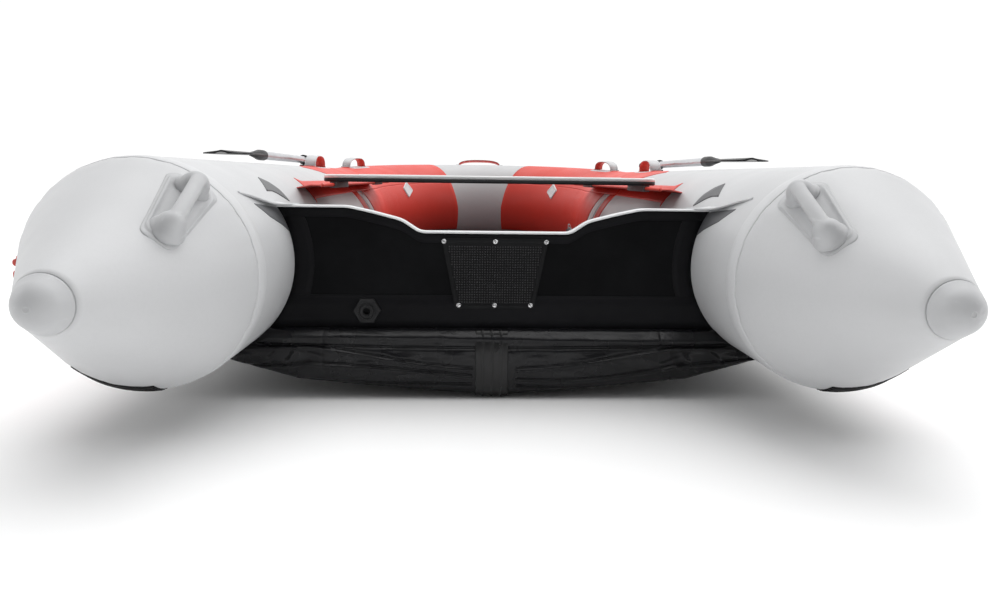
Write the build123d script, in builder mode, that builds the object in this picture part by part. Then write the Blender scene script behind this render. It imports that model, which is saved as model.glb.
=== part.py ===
from build123d import *
import os
from math import asin, atan2, cos, degrees, hypot, radians, sin, sqrt

# Inflatable dinghy with an air deck, an inflatable keel and a plywood transom.
# Frame: +Y towards the bow, +X to starboard, +Z up.
# The origin is under the middle of the boat, on the ground it stands on.

os.makedirs("parts", exist_ok=True)

SIDES = {"port": -1, "starboard": 1}

# ---- Driving dimensions, in mm ----
LENGTH = 3700.0              # end cap tips to the bow rub strake
TUBE_DIAMETER = 450.0
TUBE_SPACING = 1360.0        # between the side tube centrelines
FABRIC = 1.0                 # coated fabric of the air chambers
RUNNING_GAP = 0.4            # between pieces that move on each other

BOW_SIDE_RADIUS = 1100.0     # first, gentle arc of each bow quarter
BOW_SIDE_ANGLE = 35.0
BOW_RISE = 40.0              # how far the bow's centreline is lifted

CONE_LENGTH = 376.0
CONE_TIP_INSET = 30.0        # cap centre, inboard of the tube centreline
CONE_TIP_LIFT = 10.0
CAP_SEAM_DIAMETER = 90.0
CAP_NECK = 20.0              # conical part of the cap, before its round tip
CAP_WALL = 3.0

TAPE_WIDTH = 40.0
TAPE_THICKNESS = 0.8

STRAKE_HEIGHT = 74.0
STRAKE_THICKNESS = 12.0
WEAR_STRIP_THICKNESS = 4.0
WEAR_STRIP_OUTER_ANGLE = 36.0
WEAR_STRIP_INNER_ANGLE = 8.0
WEAR_STRIP_OVERHANG = 235.0  # how far it runs aft over the plain tube

TRANSOM_SETBACK = 280.0      # transom's aft face, forward of the cone seams
TRANSOM_THICKNESS = 25.0
TRANSOM_BOTTOM = -178.0      # heights of the transom are from the tube axis
TRANSOM_SIDE_TOP = 124.0
TRANSOM_STEP_TOP = 95.0
TRANSOM_CUTOUT_TOP = 68.0
CUTOUT_HALF_WIDTH = 172.0
STEP_X = 212.0
SHOULDER_X = 300.0
CAP_STRIP_THICKNESS = 3.0
CAP_STRIP_DEPTH = 12.0
GUSSET_THICKNESS = 3.0
GUSSET_ROOT_X = 437.0         # where the gusset starts on the transom's top edge
GUSSET_LENGTH = 190.0
GUSSET_RISE = 33.0

PLATE_TOP_WIDTH = 246.0
PLATE_BOTTOM_WIDTH = 182.0
PLATE_HEIGHT = 163.0
PLATE_CENTRE = -26.0
PLATE_THICKNESS = 4.0
SCREW_TOP_X = 117.0
SCREW_BOTTOM_X = 83.0
SCREW_EDGE = 8.0
SCREW_DIAMETER = 6.0
SCREW_HEAD_DIAMETER = 11.0
SCREW_HEAD_HEIGHT = 2.6     # its head lies just below the plate's face
SCREW_HEAD_SINK = 0.2
SCREW_HOLE_GAP = 0.2

DRAIN_X = -293.0
DRAIN_HEIGHT = -114.0
DRAIN_BORE = 16.0
DRAIN_BODY_DIAMETER = 34.0
DRAIN_FLANGE_DIAMETER = 56.0
DRAIN_NUT_ACROSS_FLATS = 56.0
DRAIN_NUT_THICKNESS = 9.0
DRAIN_FLANGE_THICKNESS = 4.0
DRAIN_PLUG_HEAD_DIAMETER = 28.0
DRAIN_PLUG_HEAD = 8.0
DRAIN_PLUG_DEPTH = 20.0
DRAIN_PLUG_TRAVEL = 45.0

HULL_JOIN_ANGLE = 12.0       # round the tube from its bottom, inboard
HULL_JOIN_GAP = TAPE_THICKNESS + 0.1
HULL_DROP = 88.0             # keel line, below where the fabric leaves the tubes
CHINE_DROP = 50.0
CHINE_SHARE = 0.711          # chine's distance out, as a share of the tube join's
HULL_SKIN = 1.2
HULL_ROLL = 34.0             # how far the hull's end bulges aft of the transom
HULL_LAP_TOP = -154.0
HULL_BOW_STEPS = (0, 12, 24, 35, 48, 60, 71, 80, 86)  # plan angles of the bow sections
HULL_FADE_POWER = 2.2        # how the hull's V fades round the bow
HULL_LEAST_SHARE = 0.06
STRAKE_LAST_ANGLE = 71.0     # where the keel strake ends
KEEL_STRAKE_WIDTH = 76.0
KEEL_STRAKE_THICKNESS = 5.0

DECK_THICKNESS = 70.0
DECK_SKIN = 1.5
DECK_EDGE_GAP = 6.0
DECK_AFT_GAP = 2.0
KEEL_TUBE_DIAMETER = 107.0   # fills the space between the hull and the deck
KEEL_TUBE_AFT_SETBACK = 60.0
KEEL_TUBE_BOW_SETBACK = 25.0  # from where the bow starts to rise

SEAT_LENGTH = 912.0
SEAT_WIDTH = 220.0
SEAT_THICKNESS = 20.0
SEAT_BOTTOM = 176.0
SEAT_END_RADIUS = 18.0
SEAT_EDGE_RADIUS = 4.0
SEAT_AFT_Y = 470.0           # seat centres, forward of the transom's aft face
SEAT_FORWARD_Y = 1360.0
RAIL_START = 200.0
RAIL_END_SETBACK = 50.0      # from the tape where the bow starts
RAIL_ROOT_DROP = 18.0         # how far the rail's web meets the tube below the seat
RAIL_THICKNESS = 4.0
RAIL_BEAD_DIAMETER = 10.0
RAIL_BEAD_X = 430.0
RAIL_ROOT = 12.0             # how deep the rail's web runs towards the tube before it is cut
TRACK_WALL = 3.0
TRACK_MOUTH = 6.0
TRACK_END_INSET = 5.0        # from the seat's edges

GRAB_HANDLE_Y = 1340.0       # aft pair, forward of the transom's aft face
GRAB_HANDLE_BOW_ANGLE = 14.0  # forward pair, round the bow in plan
GRAB_HANDLE_TILT = 92.0      # round the tube, from its outboard side
GRAB_HANDLE_LENGTH = 190.0
GRAB_HANDLE_WIDTH = 42.0
GRAB_HANDLE_HEIGHT = 46.0
GRAB_HANDLE_STRAP = 5.0
GRAB_HANDLE_FLAT = 0.72      # flat top, as a share of the span
GRAB_PATCH_THICKNESS = 1.6
GRAB_PATCH_MARGIN = 22.0

CONE_HANDLE_ANGLE = 48.0     # round the cone, up from its inboard side
CONE_HANDLE_TWIST = 16.5      # its fore end turned up and outboard
CONE_HANDLE_SHARE = 0.305    # along the cone from its seam
CONE_HANDLE_PLATE = (190.0, 80.0)
CONE_HANDLE_PAD = 4.0
CONE_HANDLE_PLATE_RADIUS = 18.0
CONE_HANDLE_FEET = 138.0     # between the feet's centres
CONE_HANDLE_FOOT_DIAMETER = 50.0
CONE_HANDLE_FOOT_HEIGHT = 24.0
CONE_HANDLE_DOME = 18.0      # tapered top of each foot
CONE_HANDLE_DOME_TAPER = 24.0
CONE_HANDLE_BAR_DIAMETER = 24.0
CONE_HANDLE_BAR_CENTRE = 32.0

OAR_PIN_Y = 1500.0
OAR_X = 750.0
OAR_HEIGHT = 256.0
OAR_SHAFT_DIAMETER = 28.0
OAR_SHAFT_WALL = 1.5
OAR_LOOM = 300.0
OAR_BLADE_START = 690.0      # from the oarlock pin, aft
OAR_BLADE_LENGTH = 370.0
OAR_BLADE_WIDTH = 140.0
OAR_BLADE_THICKNESS = 6.0
OAR_BLADE_SHOULDER = (0.8, 150.0)  # share of the half width, and distance from the root
OAR_BLADE_TIP = 60.0
OAR_SOCKET_LENGTH = 60.0
OAR_SOCKET_WALL = 3.0
OARLOCK_PIN_DIAMETER = 12.0
OARLOCK_PIN_LENGTH = 16.0
OARLOCK_RING_WIDTH = 30.0
OARLOCK_RING_WALL = 6.0
OARLOCK_BASE_DIAMETER = 84.0
OARLOCK_BOSS_DIAMETER = 36.0
OARLOCK_BASE_PAD = 3.0
GRIP_LENGTH = 110.0
GRIP_DIAMETER = 34.0
GRIP_END = 4.0

VALVE_FLANGE_DIAMETER = 64.0
VALVE_FLANGE_THICKNESS = 4.0
VALVE_BODY_DIAMETER = 44.0
VALVE_BODY_HEIGHT = 10.0
VALVE_BORE = 26.0
VALVE_DEPTH = 28.0
VALVE_PIN_DIAMETER = 8.0
VALVE_PIN_LENGTH = 22.0
VALVE_PIN_SINK = 2.0         # below the body's rim
VALVE_BRIDGE = 4.0
VALVE_CAP_DIAMETER = 52.0
VALVE_CAP_TOP = 5.0
VALVE_CAP_CHAMFER = 1.5
VALVE_SIDE_Y = 700.0
VALVE_BOW_ANGLE = 10.0       # round the bow in plan, from starboard
VALVE_BOW_TILT = -22.0       # below the tube's inner equator

TOW_PATCH_GAP = 10.0         # between the bow strake and the tow patch
TOW_PATCH_DIAMETER = 110.0
TOW_PATCH_THICKNESS = 3.0
TOW_LUG_WIDTH = 24.0
TOW_RING_MEAN_DIAMETER = 46.0
TOW_RING_WIRE = 7.0
TOW_RING_LEG = 14.0          # straight part of the ring
TOW_LUG_WALL = 5.0
TOW_PATCH_BACK = 12.0        # how far its back goes before the tube cuts it
TOW_EYE_STANDOFF = 13.0

BOW_HANDLE_SPAN = 240.0
BOW_HANDLE_TILT = 78.0
BOW_TAB_ANGLE = 27.0
BOW_TAB_SIZE = (70.0, 52.0)
BOW_TAB_RADIUS = 10.0
BOW_TAB_THICKNESS = 7.0
BOW_TAB_TILT = 28.0

# ---- Values that follow from them ----
tube_r = TUBE_DIAMETER / 2
tube_x = TUBE_SPACING / 2
join_r = tube_r * sin(radians(HULL_JOIN_ANGLE))
join_drop = tube_r * cos(radians(HULL_JOIN_ANGLE)) + HULL_JOIN_GAP
axis_z = join_drop + HULL_DROP + HULL_SKIN + KEEL_STRAKE_THICKNESS

cap_r = CAP_SEAM_DIAMETER / 2
cone_slope = (tube_r - cap_r) / CONE_LENGTH
neck_r = cap_r - CAP_NECK * cone_slope
cone_half_angle = atan2(tube_r - cap_r, CONE_LENGTH)
tip_r = neck_r / cos(cone_half_angle)
cap_depth = CAP_NECK + tip_r * (1 - sin(cone_half_angle))
cap_seam_y = -LENGTH / 2 + cap_depth
seam_y = cap_seam_y + CONE_LENGTH
transom_y = seam_y + TRANSOM_SETBACK
inner_face_y = transom_y + TRANSOM_THICKNESS

bow_end_radius = BOW_SIDE_RADIUS - (BOW_SIDE_RADIUS - tube_x) / cos(radians(BOW_SIDE_ANGLE))
bow_end_centre = (BOW_SIDE_RADIUS - bow_end_radius) * sin(radians(BOW_SIDE_ANGLE))
bow_depth = bow_end_centre + bow_end_radius
bow_tilt = asin(BOW_RISE / bow_depth)
shoulder_y = LENGTH / 2 - STRAKE_THICKNESS - tube_r - bow_depth * cos(bow_tilt)
bow_plane = Plane(
    origin=(0, shoulder_y, axis_z), x_dir=(1, 0, 0), z_dir=(0, -sin(bow_tilt), cos(bow_tilt))
)
mitre = Plane(
    origin=(0, shoulder_y, axis_z),
    x_dir=(1, 0, 0),
    z_dir=(0, cos(bow_tilt / 2), sin(bow_tilt / 2)),
)
mitre_stub = 14.0
bow_tape_y = shoulder_y - mitre_stub - TAPE_WIDTH   # aft edge of the tape there
deck_lift = KEEL_TUBE_DIAMETER + 2 * RUNNING_GAP - HULL_DROP   # deck's base above the hull joins
deck_top = -join_drop + deck_lift + DECK_THICKNESS
tow_tilt = degrees((STRAKE_HEIGHT / 2 + TOW_PATCH_GAP + TOW_PATCH_DIAMETER / 2) / tube_r)


def save(part, name):
    """Label a finished piece and write it."""
    part.label = name
    export_step(part, f"parts/{name}.step")


def bow_arcs(offset=0.0, start_y=0.0):
    """The bow's three arcs in plan, moved outwards by offset, from starboard to port."""
    side_centre = BOW_SIDE_RADIUS - tube_x
    side_radius = BOW_SIDE_RADIUS + offset
    middle = 180 - 2 * BOW_SIDE_ANGLE
    CenterArc((-side_centre, start_y), side_radius, 0, BOW_SIDE_ANGLE)
    CenterArc((0, start_y + bow_end_centre), bow_end_radius + offset, BOW_SIDE_ANGLE, middle)
    CenterArc((side_centre, start_y), side_radius, 180 - BOW_SIDE_ANGLE, BOW_SIDE_ANGLE)


def bow_line():
    """Bow centreline in plan with a short straight at each end, for a BuildLine on bow_plane."""
    Line((tube_x, -mitre_stub), (tube_x, 0))
    bow_arcs()
    Line((-tube_x, 0), (-tube_x, -mitre_stub))


def bow_point(angle, offset=0.0):
    """Point of the bow line at a plan angle from starboard, in bow_plane's own x and y."""
    if angle <= BOW_SIDE_ANGLE:
        reach = BOW_SIDE_RADIUS + offset
        return (
            tube_x - BOW_SIDE_RADIUS + reach * cos(radians(angle)),
            reach * sin(radians(angle)),
        )
    reach = bow_end_radius + offset
    return (reach * cos(radians(angle)), bow_end_centre + reach * sin(radians(angle)))


def on_bow(angle, tilt, height=0.0, inner=False):
    """Plane on the bow tube's surface: z_dir is its outward normal, x_dir runs along the tube."""
    reach = tube_r + height
    flip = -1 if inner else 1
    x, y = bow_point(angle, flip * reach * cos(radians(tilt)))
    turn = radians(angle)
    out = flip * cos(radians(tilt))
    origin = bow_plane.from_local_coords((0, 0, 0))
    along = bow_plane.from_local_coords((-sin(turn), cos(turn), 0)) - origin
    normal = bow_plane.from_local_coords((out * cos(turn), out * sin(turn), sin(radians(tilt)))) - origin
    foot = bow_plane.from_local_coords((x, y, reach * sin(radians(tilt))))
    return Plane(origin=foot, x_dir=along, z_dir=normal)


def mirrored(plane):
    """The same plane on the port side."""
    return Plane(
        origin=(-plane.origin.X, plane.origin.Y, plane.origin.Z),
        x_dir=(-plane.x_dir.X, plane.x_dir.Y, plane.x_dir.Z),
        z_dir=(-plane.z_dir.X, plane.z_dir.Y, plane.z_dir.Z),
    )


def on_side(sign, y, tilt):
    """Plane on a straight tube's surface: z_dir is its outward normal, x_dir runs forward."""
    turn = radians(tilt)
    return Plane(
        origin=(sign * (tube_x + tube_r * cos(turn)), y, axis_z + tube_r * sin(turn)),
        x_dir=(0, 1, 0),
        z_dir=(sign * cos(turn), 0, sin(turn)),
    )


def valve_plane(side):
    """Plane on a tube's inner side: z_dir points out of the tube."""
    if side == "bow":
        return on_bow(VALVE_BOW_ANGLE, VALVE_BOW_TILT, inner=True)
    sign = SIDES[side]
    return Plane(
        origin=(sign * (tube_x - tube_r), transom_y + VALVE_SIDE_Y, axis_z),
        x_dir=(0, 1, 0),
        z_dir=(-sign, 0, 0),
    )


# ---- Air chambers ----
def side_tube(sign, outer_r, inner_r, aft=seam_y):
    """Straight side chamber, cut on the mitre where the bow starts to rise."""
    with BuildPart() as tube:
        with BuildSketch(Plane(origin=(sign * tube_x, aft, axis_z), x_dir=(1, 0, 0), z_dir=(0, 1, 0))):
            Circle(outer_r)
            if inner_r:
                Circle(inner_r, mode=Mode.SUBTRACT)
        extrude(amount=shoulder_y + mitre_stub - aft)
        split(bisect_by=mitre, keep=Keep.BOTTOM)
        if inner_r:
            with BuildSketch(valve_plane("starboard" if sign > 0 else "port").offset(-VALVE_DEPTH)):
                Circle(VALVE_BODY_DIAMETER / 2)
            extrude(amount=2 * VALVE_DEPTH, mode=Mode.SUBTRACT)
    return tube.part


def tube_pair(radius):
    """Both straight tubes as plain cylinders that run past the mitres, to cut fittings with."""
    with BuildPart() as pair:
        for sign in SIDES.values():
            with BuildSketch(Plane(origin=(sign * tube_x, seam_y, axis_z), z_dir=(0, 1, 0))):
                Circle(radius)
            extrude(amount=shoulder_y + tube_r - seam_y)
    return pair.part


def bow_tube(outer_r, inner_r):
    """Bow chamber: the tube section swept round the raised bow line."""
    with BuildPart() as tube:
        with BuildLine(bow_plane) as route:
            bow_line()
        with BuildSketch(Plane(origin=route.wire() @ 0, x_dir=(1, 0, 0), z_dir=route.wire() % 0)):
            Circle(outer_r)
            if inner_r:
                Circle(inner_r, mode=Mode.SUBTRACT)
        sweep(path=route.wire())
        split(bisect_by=mitre, keep=Keep.TOP)
        if inner_r:
            with BuildSketch(valve_plane("bow").offset(-VALVE_DEPTH)):
                Circle(VALVE_BODY_DIAMETER / 2)
            extrude(amount=2 * VALVE_DEPTH, mode=Mode.SUBTRACT)
    return tube.part


for side, sign in SIDES.items():
    save(side_tube(sign, tube_r, tube_r - FABRIC), f"tube_{side}")
save(bow_tube(tube_r, tube_r - FABRIC), "tube_bow")

# Diaphragms that part the bow chamber from the side chambers, just forward of the mitres
with BuildPart() as chamber_baffles:
    wall = on_bow(1.5, 90, -tube_r)
    wall = Plane(origin=wall.origin, x_dir=wall.z_dir, z_dir=wall.x_dir)
    for place in (wall, mirrored(wall)):
        with BuildSketch(place):
            Circle(tube_r - FABRIC)
        extrude(amount=FABRIC)
save(chamber_baffles.part, "chamber_baffles")


# ---- Stern cones and their end caps ----
def cone_body(sign, grow):
    """Solid cone from the side tube to the end cap, its radii larger by grow."""
    with BuildPart() as body:
        with BuildSketch(Plane(origin=(sign * tube_x, seam_y, axis_z), x_dir=(1, 0, 0), z_dir=(0, -1, 0))):
            Circle(tube_r + grow)
        with BuildSketch(
            Plane(
                origin=(sign * (tube_x - CONE_TIP_INSET), cap_seam_y, axis_z + CONE_TIP_LIFT),
                x_dir=(1, 0, 0),
                z_dir=(0, -1, 0),
            )
        ):
            Circle(cap_r + grow)
        loft(ruled=True)
    return body.part


def stern_cone(sign):
    with BuildPart() as cone:
        add(cone_body(sign, 0))
        add(cone_body(sign, -FABRIC), mode=Mode.SUBTRACT)
    return cone.part


def cone_cap(sign):
    """Moulded end cap: a conical neck with a round tip, hollow from the front."""
    axis_plane = Plane(
        origin=(sign * (tube_x - CONE_TIP_INSET), cap_seam_y, axis_z + CONE_TIP_LIFT),
        x_dir=(1, 0, 0),
        z_dir=(0, 0, 1),
    )
    middle = radians(45) - cone_half_angle / 2
    with BuildPart() as cap:
        for inset, mode in ((0.0, Mode.ADD), (CAP_WALL, Mode.SUBTRACT)):
            centre_y = -CAP_NECK + tip_r * sin(cone_half_angle)
            ball = tip_r - inset
            shrink = inset / cos(cone_half_angle)
            with BuildSketch(axis_plane):
                with BuildLine():
                    Line((0, 0), (cap_r - shrink, 0))
                    tangent_x = ball * cos(cone_half_angle)
                    tangent_y = centre_y - ball * sin(cone_half_angle)
                    Line((cap_r - shrink, 0), (tangent_x, tangent_y))
                    turn = cone_half_angle + middle
                    ThreePointArc(
                        (tangent_x, tangent_y),
                        (ball * cos(turn), centre_y - ball * sin(turn)),
                        (0, centre_y - ball),
                    )
                    Line((0, centre_y - ball), (0, 0))
                make_face()
            revolve(axis=Axis(axis_plane.origin, (0, 1, 0)), mode=mode)
    return cap.part


for side, sign in SIDES.items():
    save(stern_cone(sign), f"stern_cone_{side}")
    save(cone_cap(sign), f"cone_cap_{side}")

# Tapes over the seams between the cones, the side tubes and the bow
with BuildPart() as seam_tapes:
    for sign in SIDES.values():
        for place in (seam_y + TAPE_WIDTH / 2, bow_tape_y + TAPE_WIDTH / 2):
            with BuildSketch(Plane(origin=(sign * tube_x, place, axis_z), z_dir=(0, 1, 0))):
                Circle(tube_r + TAPE_THICKNESS)
                Circle(tube_r, mode=Mode.SUBTRACT)
            extrude(amount=TAPE_WIDTH / 2, both=True)
save(seam_tapes.part, "seam_tapes")


# ---- Carrying handles moulded on the cones ----
def cone_handle_plane(sign):
    """Plane on the cone under the handle's middle: x along the cone, z out of it."""
    share = CONE_HANDLE_SHARE
    radius = tube_r + (cap_r - tube_r) * share
    centre_x = tube_x - CONE_TIP_INSET * share
    turn = radians(CONE_HANDLE_ANGLE)
    foot = Vector(
        sign * (centre_x - radius * cos(turn)),
        seam_y - CONE_LENGTH * share,
        axis_z + CONE_TIP_LIFT * share + radius * sin(turn),
    )
    root = Vector(sign * (tube_x - tube_r * cos(turn)), seam_y, axis_z + tube_r * sin(turn))
    along = root - foot
    outward = Vector(-sign * cos(turn), -cone_slope, sin(turn))
    outward = outward - along * (outward.dot(along) / along.dot(along))
    return Plane(origin=foot, x_dir=along, z_dir=outward).rotated((0, 0, -sign * CONE_HANDLE_TWIST))


def cone_handle_pad(sign):
    """Welded base pad that follows the cone."""
    with BuildPart() as pad:
        with BuildSketch(cone_handle_plane(sign).offset(-tube_r / 4)):
            RectangleRounded(*CONE_HANDLE_PLATE, CONE_HANDLE_PLATE_RADIUS)
        extrude(amount=tube_r / 2)
        add(cone_body(sign, CONE_HANDLE_PAD), mode=Mode.INTERSECT)
        add(cone_body(sign, 0), mode=Mode.SUBTRACT)
    return pad.part


def cone_handle(sign):
    """Moulded grip: two round feet on the pad, joined by a bar clear of it."""
    plane = cone_handle_plane(sign)
    root = tube_r / 8  # the feet start inside the cone and are cut to it
    with BuildPart() as grip:
        for end in (-1, 1):
            with BuildSketch(plane.offset(-root)):
                with Locations((end * CONE_HANDLE_FEET / 2, 0)):
                    Circle(CONE_HANDLE_FOOT_DIAMETER / 2)
            extrude(amount=root + CONE_HANDLE_FOOT_HEIGHT)
            with BuildSketch(plane.offset(CONE_HANDLE_FOOT_HEIGHT)):
                with Locations((end * CONE_HANDLE_FEET / 2, 0)):
                    Circle(CONE_HANDLE_FOOT_DIAMETER / 2)
            extrude(amount=CONE_HANDLE_DOME, taper=CONE_HANDLE_DOME_TAPER)
        bar_end = plane.from_local_coords((-CONE_HANDLE_FEET / 2, 0, CONE_HANDLE_BAR_CENTRE))
        with BuildSketch(Plane(origin=bar_end, x_dir=plane.y_dir, z_dir=plane.x_dir)):
            Circle(CONE_HANDLE_BAR_DIAMETER / 2)
        extrude(amount=CONE_HANDLE_FEET)
        add(cone_body(sign, CONE_HANDLE_PAD), mode=Mode.SUBTRACT)
    return grip.part


with BuildPart() as cone_handle_pads:
    for sign in SIDES.values():
        add(cone_handle_pad(sign))
save(cone_handle_pads.part, "cone_handle_pads")
for side, sign in SIDES.items():
    save(cone_handle(sign), f"cone_handle_{side}")


# ---- Transom ----
def transom_side_x(height):
    """How far out the transom may reach at a height above the tube axis."""
    return tube_x - sqrt(tube_r**2 - height**2)


def transom_top_line(lift, out_x):
    """Upper edge from port to starboard, lifted by lift, as points."""
    half = [
        (out_x, TRANSOM_SIDE_TOP + lift),
        (SHOULDER_X + 34, TRANSOM_SIDE_TOP + lift),
        (SHOULDER_X - 22, TRANSOM_SIDE_TOP - 12 + lift),
        (STEP_X, TRANSOM_STEP_TOP + lift),
        (CUTOUT_HALF_WIDTH, TRANSOM_CUTOUT_TOP + lift),
    ]
    return [(-x, z) for x, z in half] + [(x, z) for x, z in reversed(half)]


plate_screws = [
    (x, PLATE_CENTRE + end * (PLATE_HEIGHT / 2 - SCREW_EDGE))
    for end, spread in ((1, SCREW_TOP_X), (-1, SCREW_BOTTOM_X))
    for x in (-spread, 0, spread)
]
transom_face = Plane(origin=(0, transom_y, axis_z), x_dir=(1, 0, 0), z_dir=(0, -1, 0))
inner_face = Plane(origin=(0, inner_face_y, axis_z), x_dir=(1, 0, 0), z_dir=(0, -1, 0))

with BuildPart() as transom_board:
    with BuildSketch(transom_face):
        with BuildLine():
            top_line = transom_top_line(0, tube_x)
            Polyline(*top_line, (tube_x, TRANSOM_BOTTOM), (-tube_x, TRANSOM_BOTTOM), close=True)
        make_face()
        for sign in SIDES.values():
            with Locations((sign * tube_x, 0)):
                Circle(tube_r, mode=Mode.SUBTRACT)
        with Locations(*plate_screws):
            Circle(SCREW_DIAMETER / 2 + SCREW_HOLE_GAP, mode=Mode.SUBTRACT)
        with Locations((DRAIN_X, DRAIN_HEIGHT)):
            Circle(DRAIN_BODY_DIAMETER / 2, mode=Mode.SUBTRACT)
    extrude(amount=-TRANSOM_THICKNESS)
save(transom_board.part, "transom_board")

# Edge trim over the board's top: a thin U that follows the cutout
trim_end = transom_side_x(TRANSOM_SIDE_TOP + CAP_STRIP_THICKNESS) - 2
with BuildPart() as transom_cap_strip:
    with BuildSketch(transom_face.offset(CAP_STRIP_THICKNESS)):
        with BuildLine():
            Polyline(
                *transom_top_line(CAP_STRIP_THICKNESS, trim_end),
                *reversed(transom_top_line(-CAP_STRIP_DEPTH, trim_end)),
                close=True,
            )
        make_face()
        for sign in SIDES.values():
            with Locations((sign * tube_x, 0)):
                Circle(tube_r, mode=Mode.SUBTRACT)
    extrude(amount=-(TRANSOM_THICKNESS + 2 * CAP_STRIP_THICKNESS))
    with BuildSketch(transom_face):
        with BuildLine():
            Polyline(*top_line, (tube_x, TRANSOM_BOTTOM), (-tube_x, TRANSOM_BOTTOM), close=True)
        make_face()
    extrude(amount=-TRANSOM_THICKNESS, mode=Mode.SUBTRACT)
save(transom_cap_strip.part, "transom_cap_strip")


# Fabric gussets that run aft from the transom's upper corners along the tubes
def transom_gusset(sign):
    slope = atan2(GUSSET_RISE, GUSSET_LENGTH)
    run = hypot(GUSSET_RISE, GUSSET_LENGTH)
    corner = Plane(
        origin=(sign * GUSSET_ROOT_X, transom_y, axis_z + TRANSOM_SIDE_TOP),
        x_dir=(1, 0, 0),
        z_dir=(0, sin(slope), cos(slope)),
    )
    tip_x = transom_side_x(TRANSOM_SIDE_TOP + GUSSET_RISE) - GUSSET_ROOT_X
    with BuildPart() as web:
        with BuildSketch(corner):
            with BuildLine():
                Polyline(
                    (0, 0),
                    (sign * tip_x, -run),
                    (sign * (tip_x + tube_r / 4), -run),
                    (sign * (tip_x + tube_r / 4), 0),
                    close=True,
                )
            make_face()
        extrude(amount=-GUSSET_THICKNESS)
        add(tube_pair(tube_r), mode=Mode.SUBTRACT)
        with BuildSketch(transom_face.offset(CAP_STRIP_THICKNESS)):
            Rectangle(TUBE_SPACING, TUBE_DIAMETER)
        extrude(amount=-TRANSOM_THICKNESS, mode=Mode.SUBTRACT)
    return web.part


with BuildPart() as transom_gussets:
    for sign in SIDES.values():
        add(transom_gusset(sign))
save(transom_gussets.part, "transom_gussets")


def motor_plate(plane, thickness, sunk_heads):
    """Trapezoid plate for the outboard's clamps."""
    with BuildPart() as plate:
        with BuildSketch(plane):
            with BuildLine():
                top = PLATE_CENTRE + PLATE_HEIGHT / 2
                bottom = PLATE_CENTRE - PLATE_HEIGHT / 2
                Polyline(
                    (-PLATE_TOP_WIDTH / 2, top),
                    (PLATE_TOP_WIDTH / 2, top),
                    (PLATE_BOTTOM_WIDTH / 2, bottom),
                    (-PLATE_BOTTOM_WIDTH / 2, bottom),
                    close=True,
                )
            outline = make_face()
            fillet(outline.vertices(), 6)
            with Locations(*plate_screws):
                Circle(SCREW_DIAMETER / 2 + SCREW_HOLE_GAP, mode=Mode.SUBTRACT)
        extrude(amount=thickness)
        if sunk_heads:
            with BuildSketch(plane.offset(thickness)):
                with Locations(*plate_screws):
                    Circle(SCREW_HEAD_DIAMETER / 2 + SCREW_HOLE_GAP)
            extrude(amount=-(SCREW_HEAD_HEIGHT + SCREW_HEAD_SINK), mode=Mode.SUBTRACT)
    return plate.part


save(motor_plate(transom_face, PLATE_THICKNESS, True), "motor_plate_outer")
save(motor_plate(inner_face, -PLATE_THICKNESS, False), "motor_plate_inner")
head_seat = transom_face.offset(PLATE_THICKNESS - SCREW_HEAD_HEIGHT - SCREW_HEAD_SINK)

with BuildPart() as motor_plate_screws:
    with BuildSketch(head_seat):
        with Locations(*plate_screws):
            Circle(SCREW_HEAD_DIAMETER / 2)
    extrude(amount=SCREW_HEAD_HEIGHT)
    with BuildSketch(head_seat):
        with Locations(*plate_screws):
            Circle(SCREW_DIAMETER / 2)
    extrude(amount=SCREW_HEAD_HEIGHT + SCREW_HEAD_SINK - TRANSOM_THICKNESS - 2 * PLATE_THICKNESS)
save(motor_plate_screws.part, "motor_plate_screws")

# ---- Drain through the transom ----
with BuildPart() as drain_body:
    with BuildSketch(inner_face.offset(-DRAIN_FLANGE_THICKNESS)):
        with Locations((DRAIN_X, DRAIN_HEIGHT)):
            Circle(DRAIN_FLANGE_DIAMETER / 2)
            Circle(DRAIN_BORE / 2, mode=Mode.SUBTRACT)
    extrude(amount=DRAIN_FLANGE_THICKNESS)
    with BuildSketch(inner_face):
        with Locations((DRAIN_X, DRAIN_HEIGHT)):
            Circle(DRAIN_BODY_DIAMETER / 2)
            Circle(DRAIN_BORE / 2, mode=Mode.SUBTRACT)
    extrude(amount=TRANSOM_THICKNESS + DRAIN_NUT_THICKNESS + 2)
save(drain_body.part, "drain_body")

with BuildPart() as drain_nut:
    with BuildSketch(transom_face):
        with Locations((DRAIN_X, DRAIN_HEIGHT)):
            RegularPolygon(DRAIN_NUT_ACROSS_FLATS / 2, 6, major_radius=False)
            Circle(DRAIN_BODY_DIAMETER / 2, mode=Mode.SUBTRACT)
    extrude(amount=DRAIN_NUT_THICKNESS)
    chamfer(drain_nut.faces().sort_by(Axis.Y)[0].outer_wire().edges(), 2)
save(drain_nut.part, "drain_nut")

with BuildPart() as drain_plug:
    with BuildSketch(inner_face.offset(-DRAIN_FLANGE_THICKNESS)):
        with Locations((DRAIN_X, DRAIN_HEIGHT)):
            Circle(DRAIN_PLUG_HEAD_DIAMETER / 2)
    extrude(amount=-DRAIN_PLUG_HEAD)
    with BuildSketch(inner_face.offset(-DRAIN_FLANGE_THICKNESS)):
        with Locations((DRAIN_X, DRAIN_HEIGHT)):
            Circle(DRAIN_BORE / 2 - RUNNING_GAP)
    extrude(amount=DRAIN_PLUG_DEPTH)
save(drain_plug.part, "drain_plug")


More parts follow.
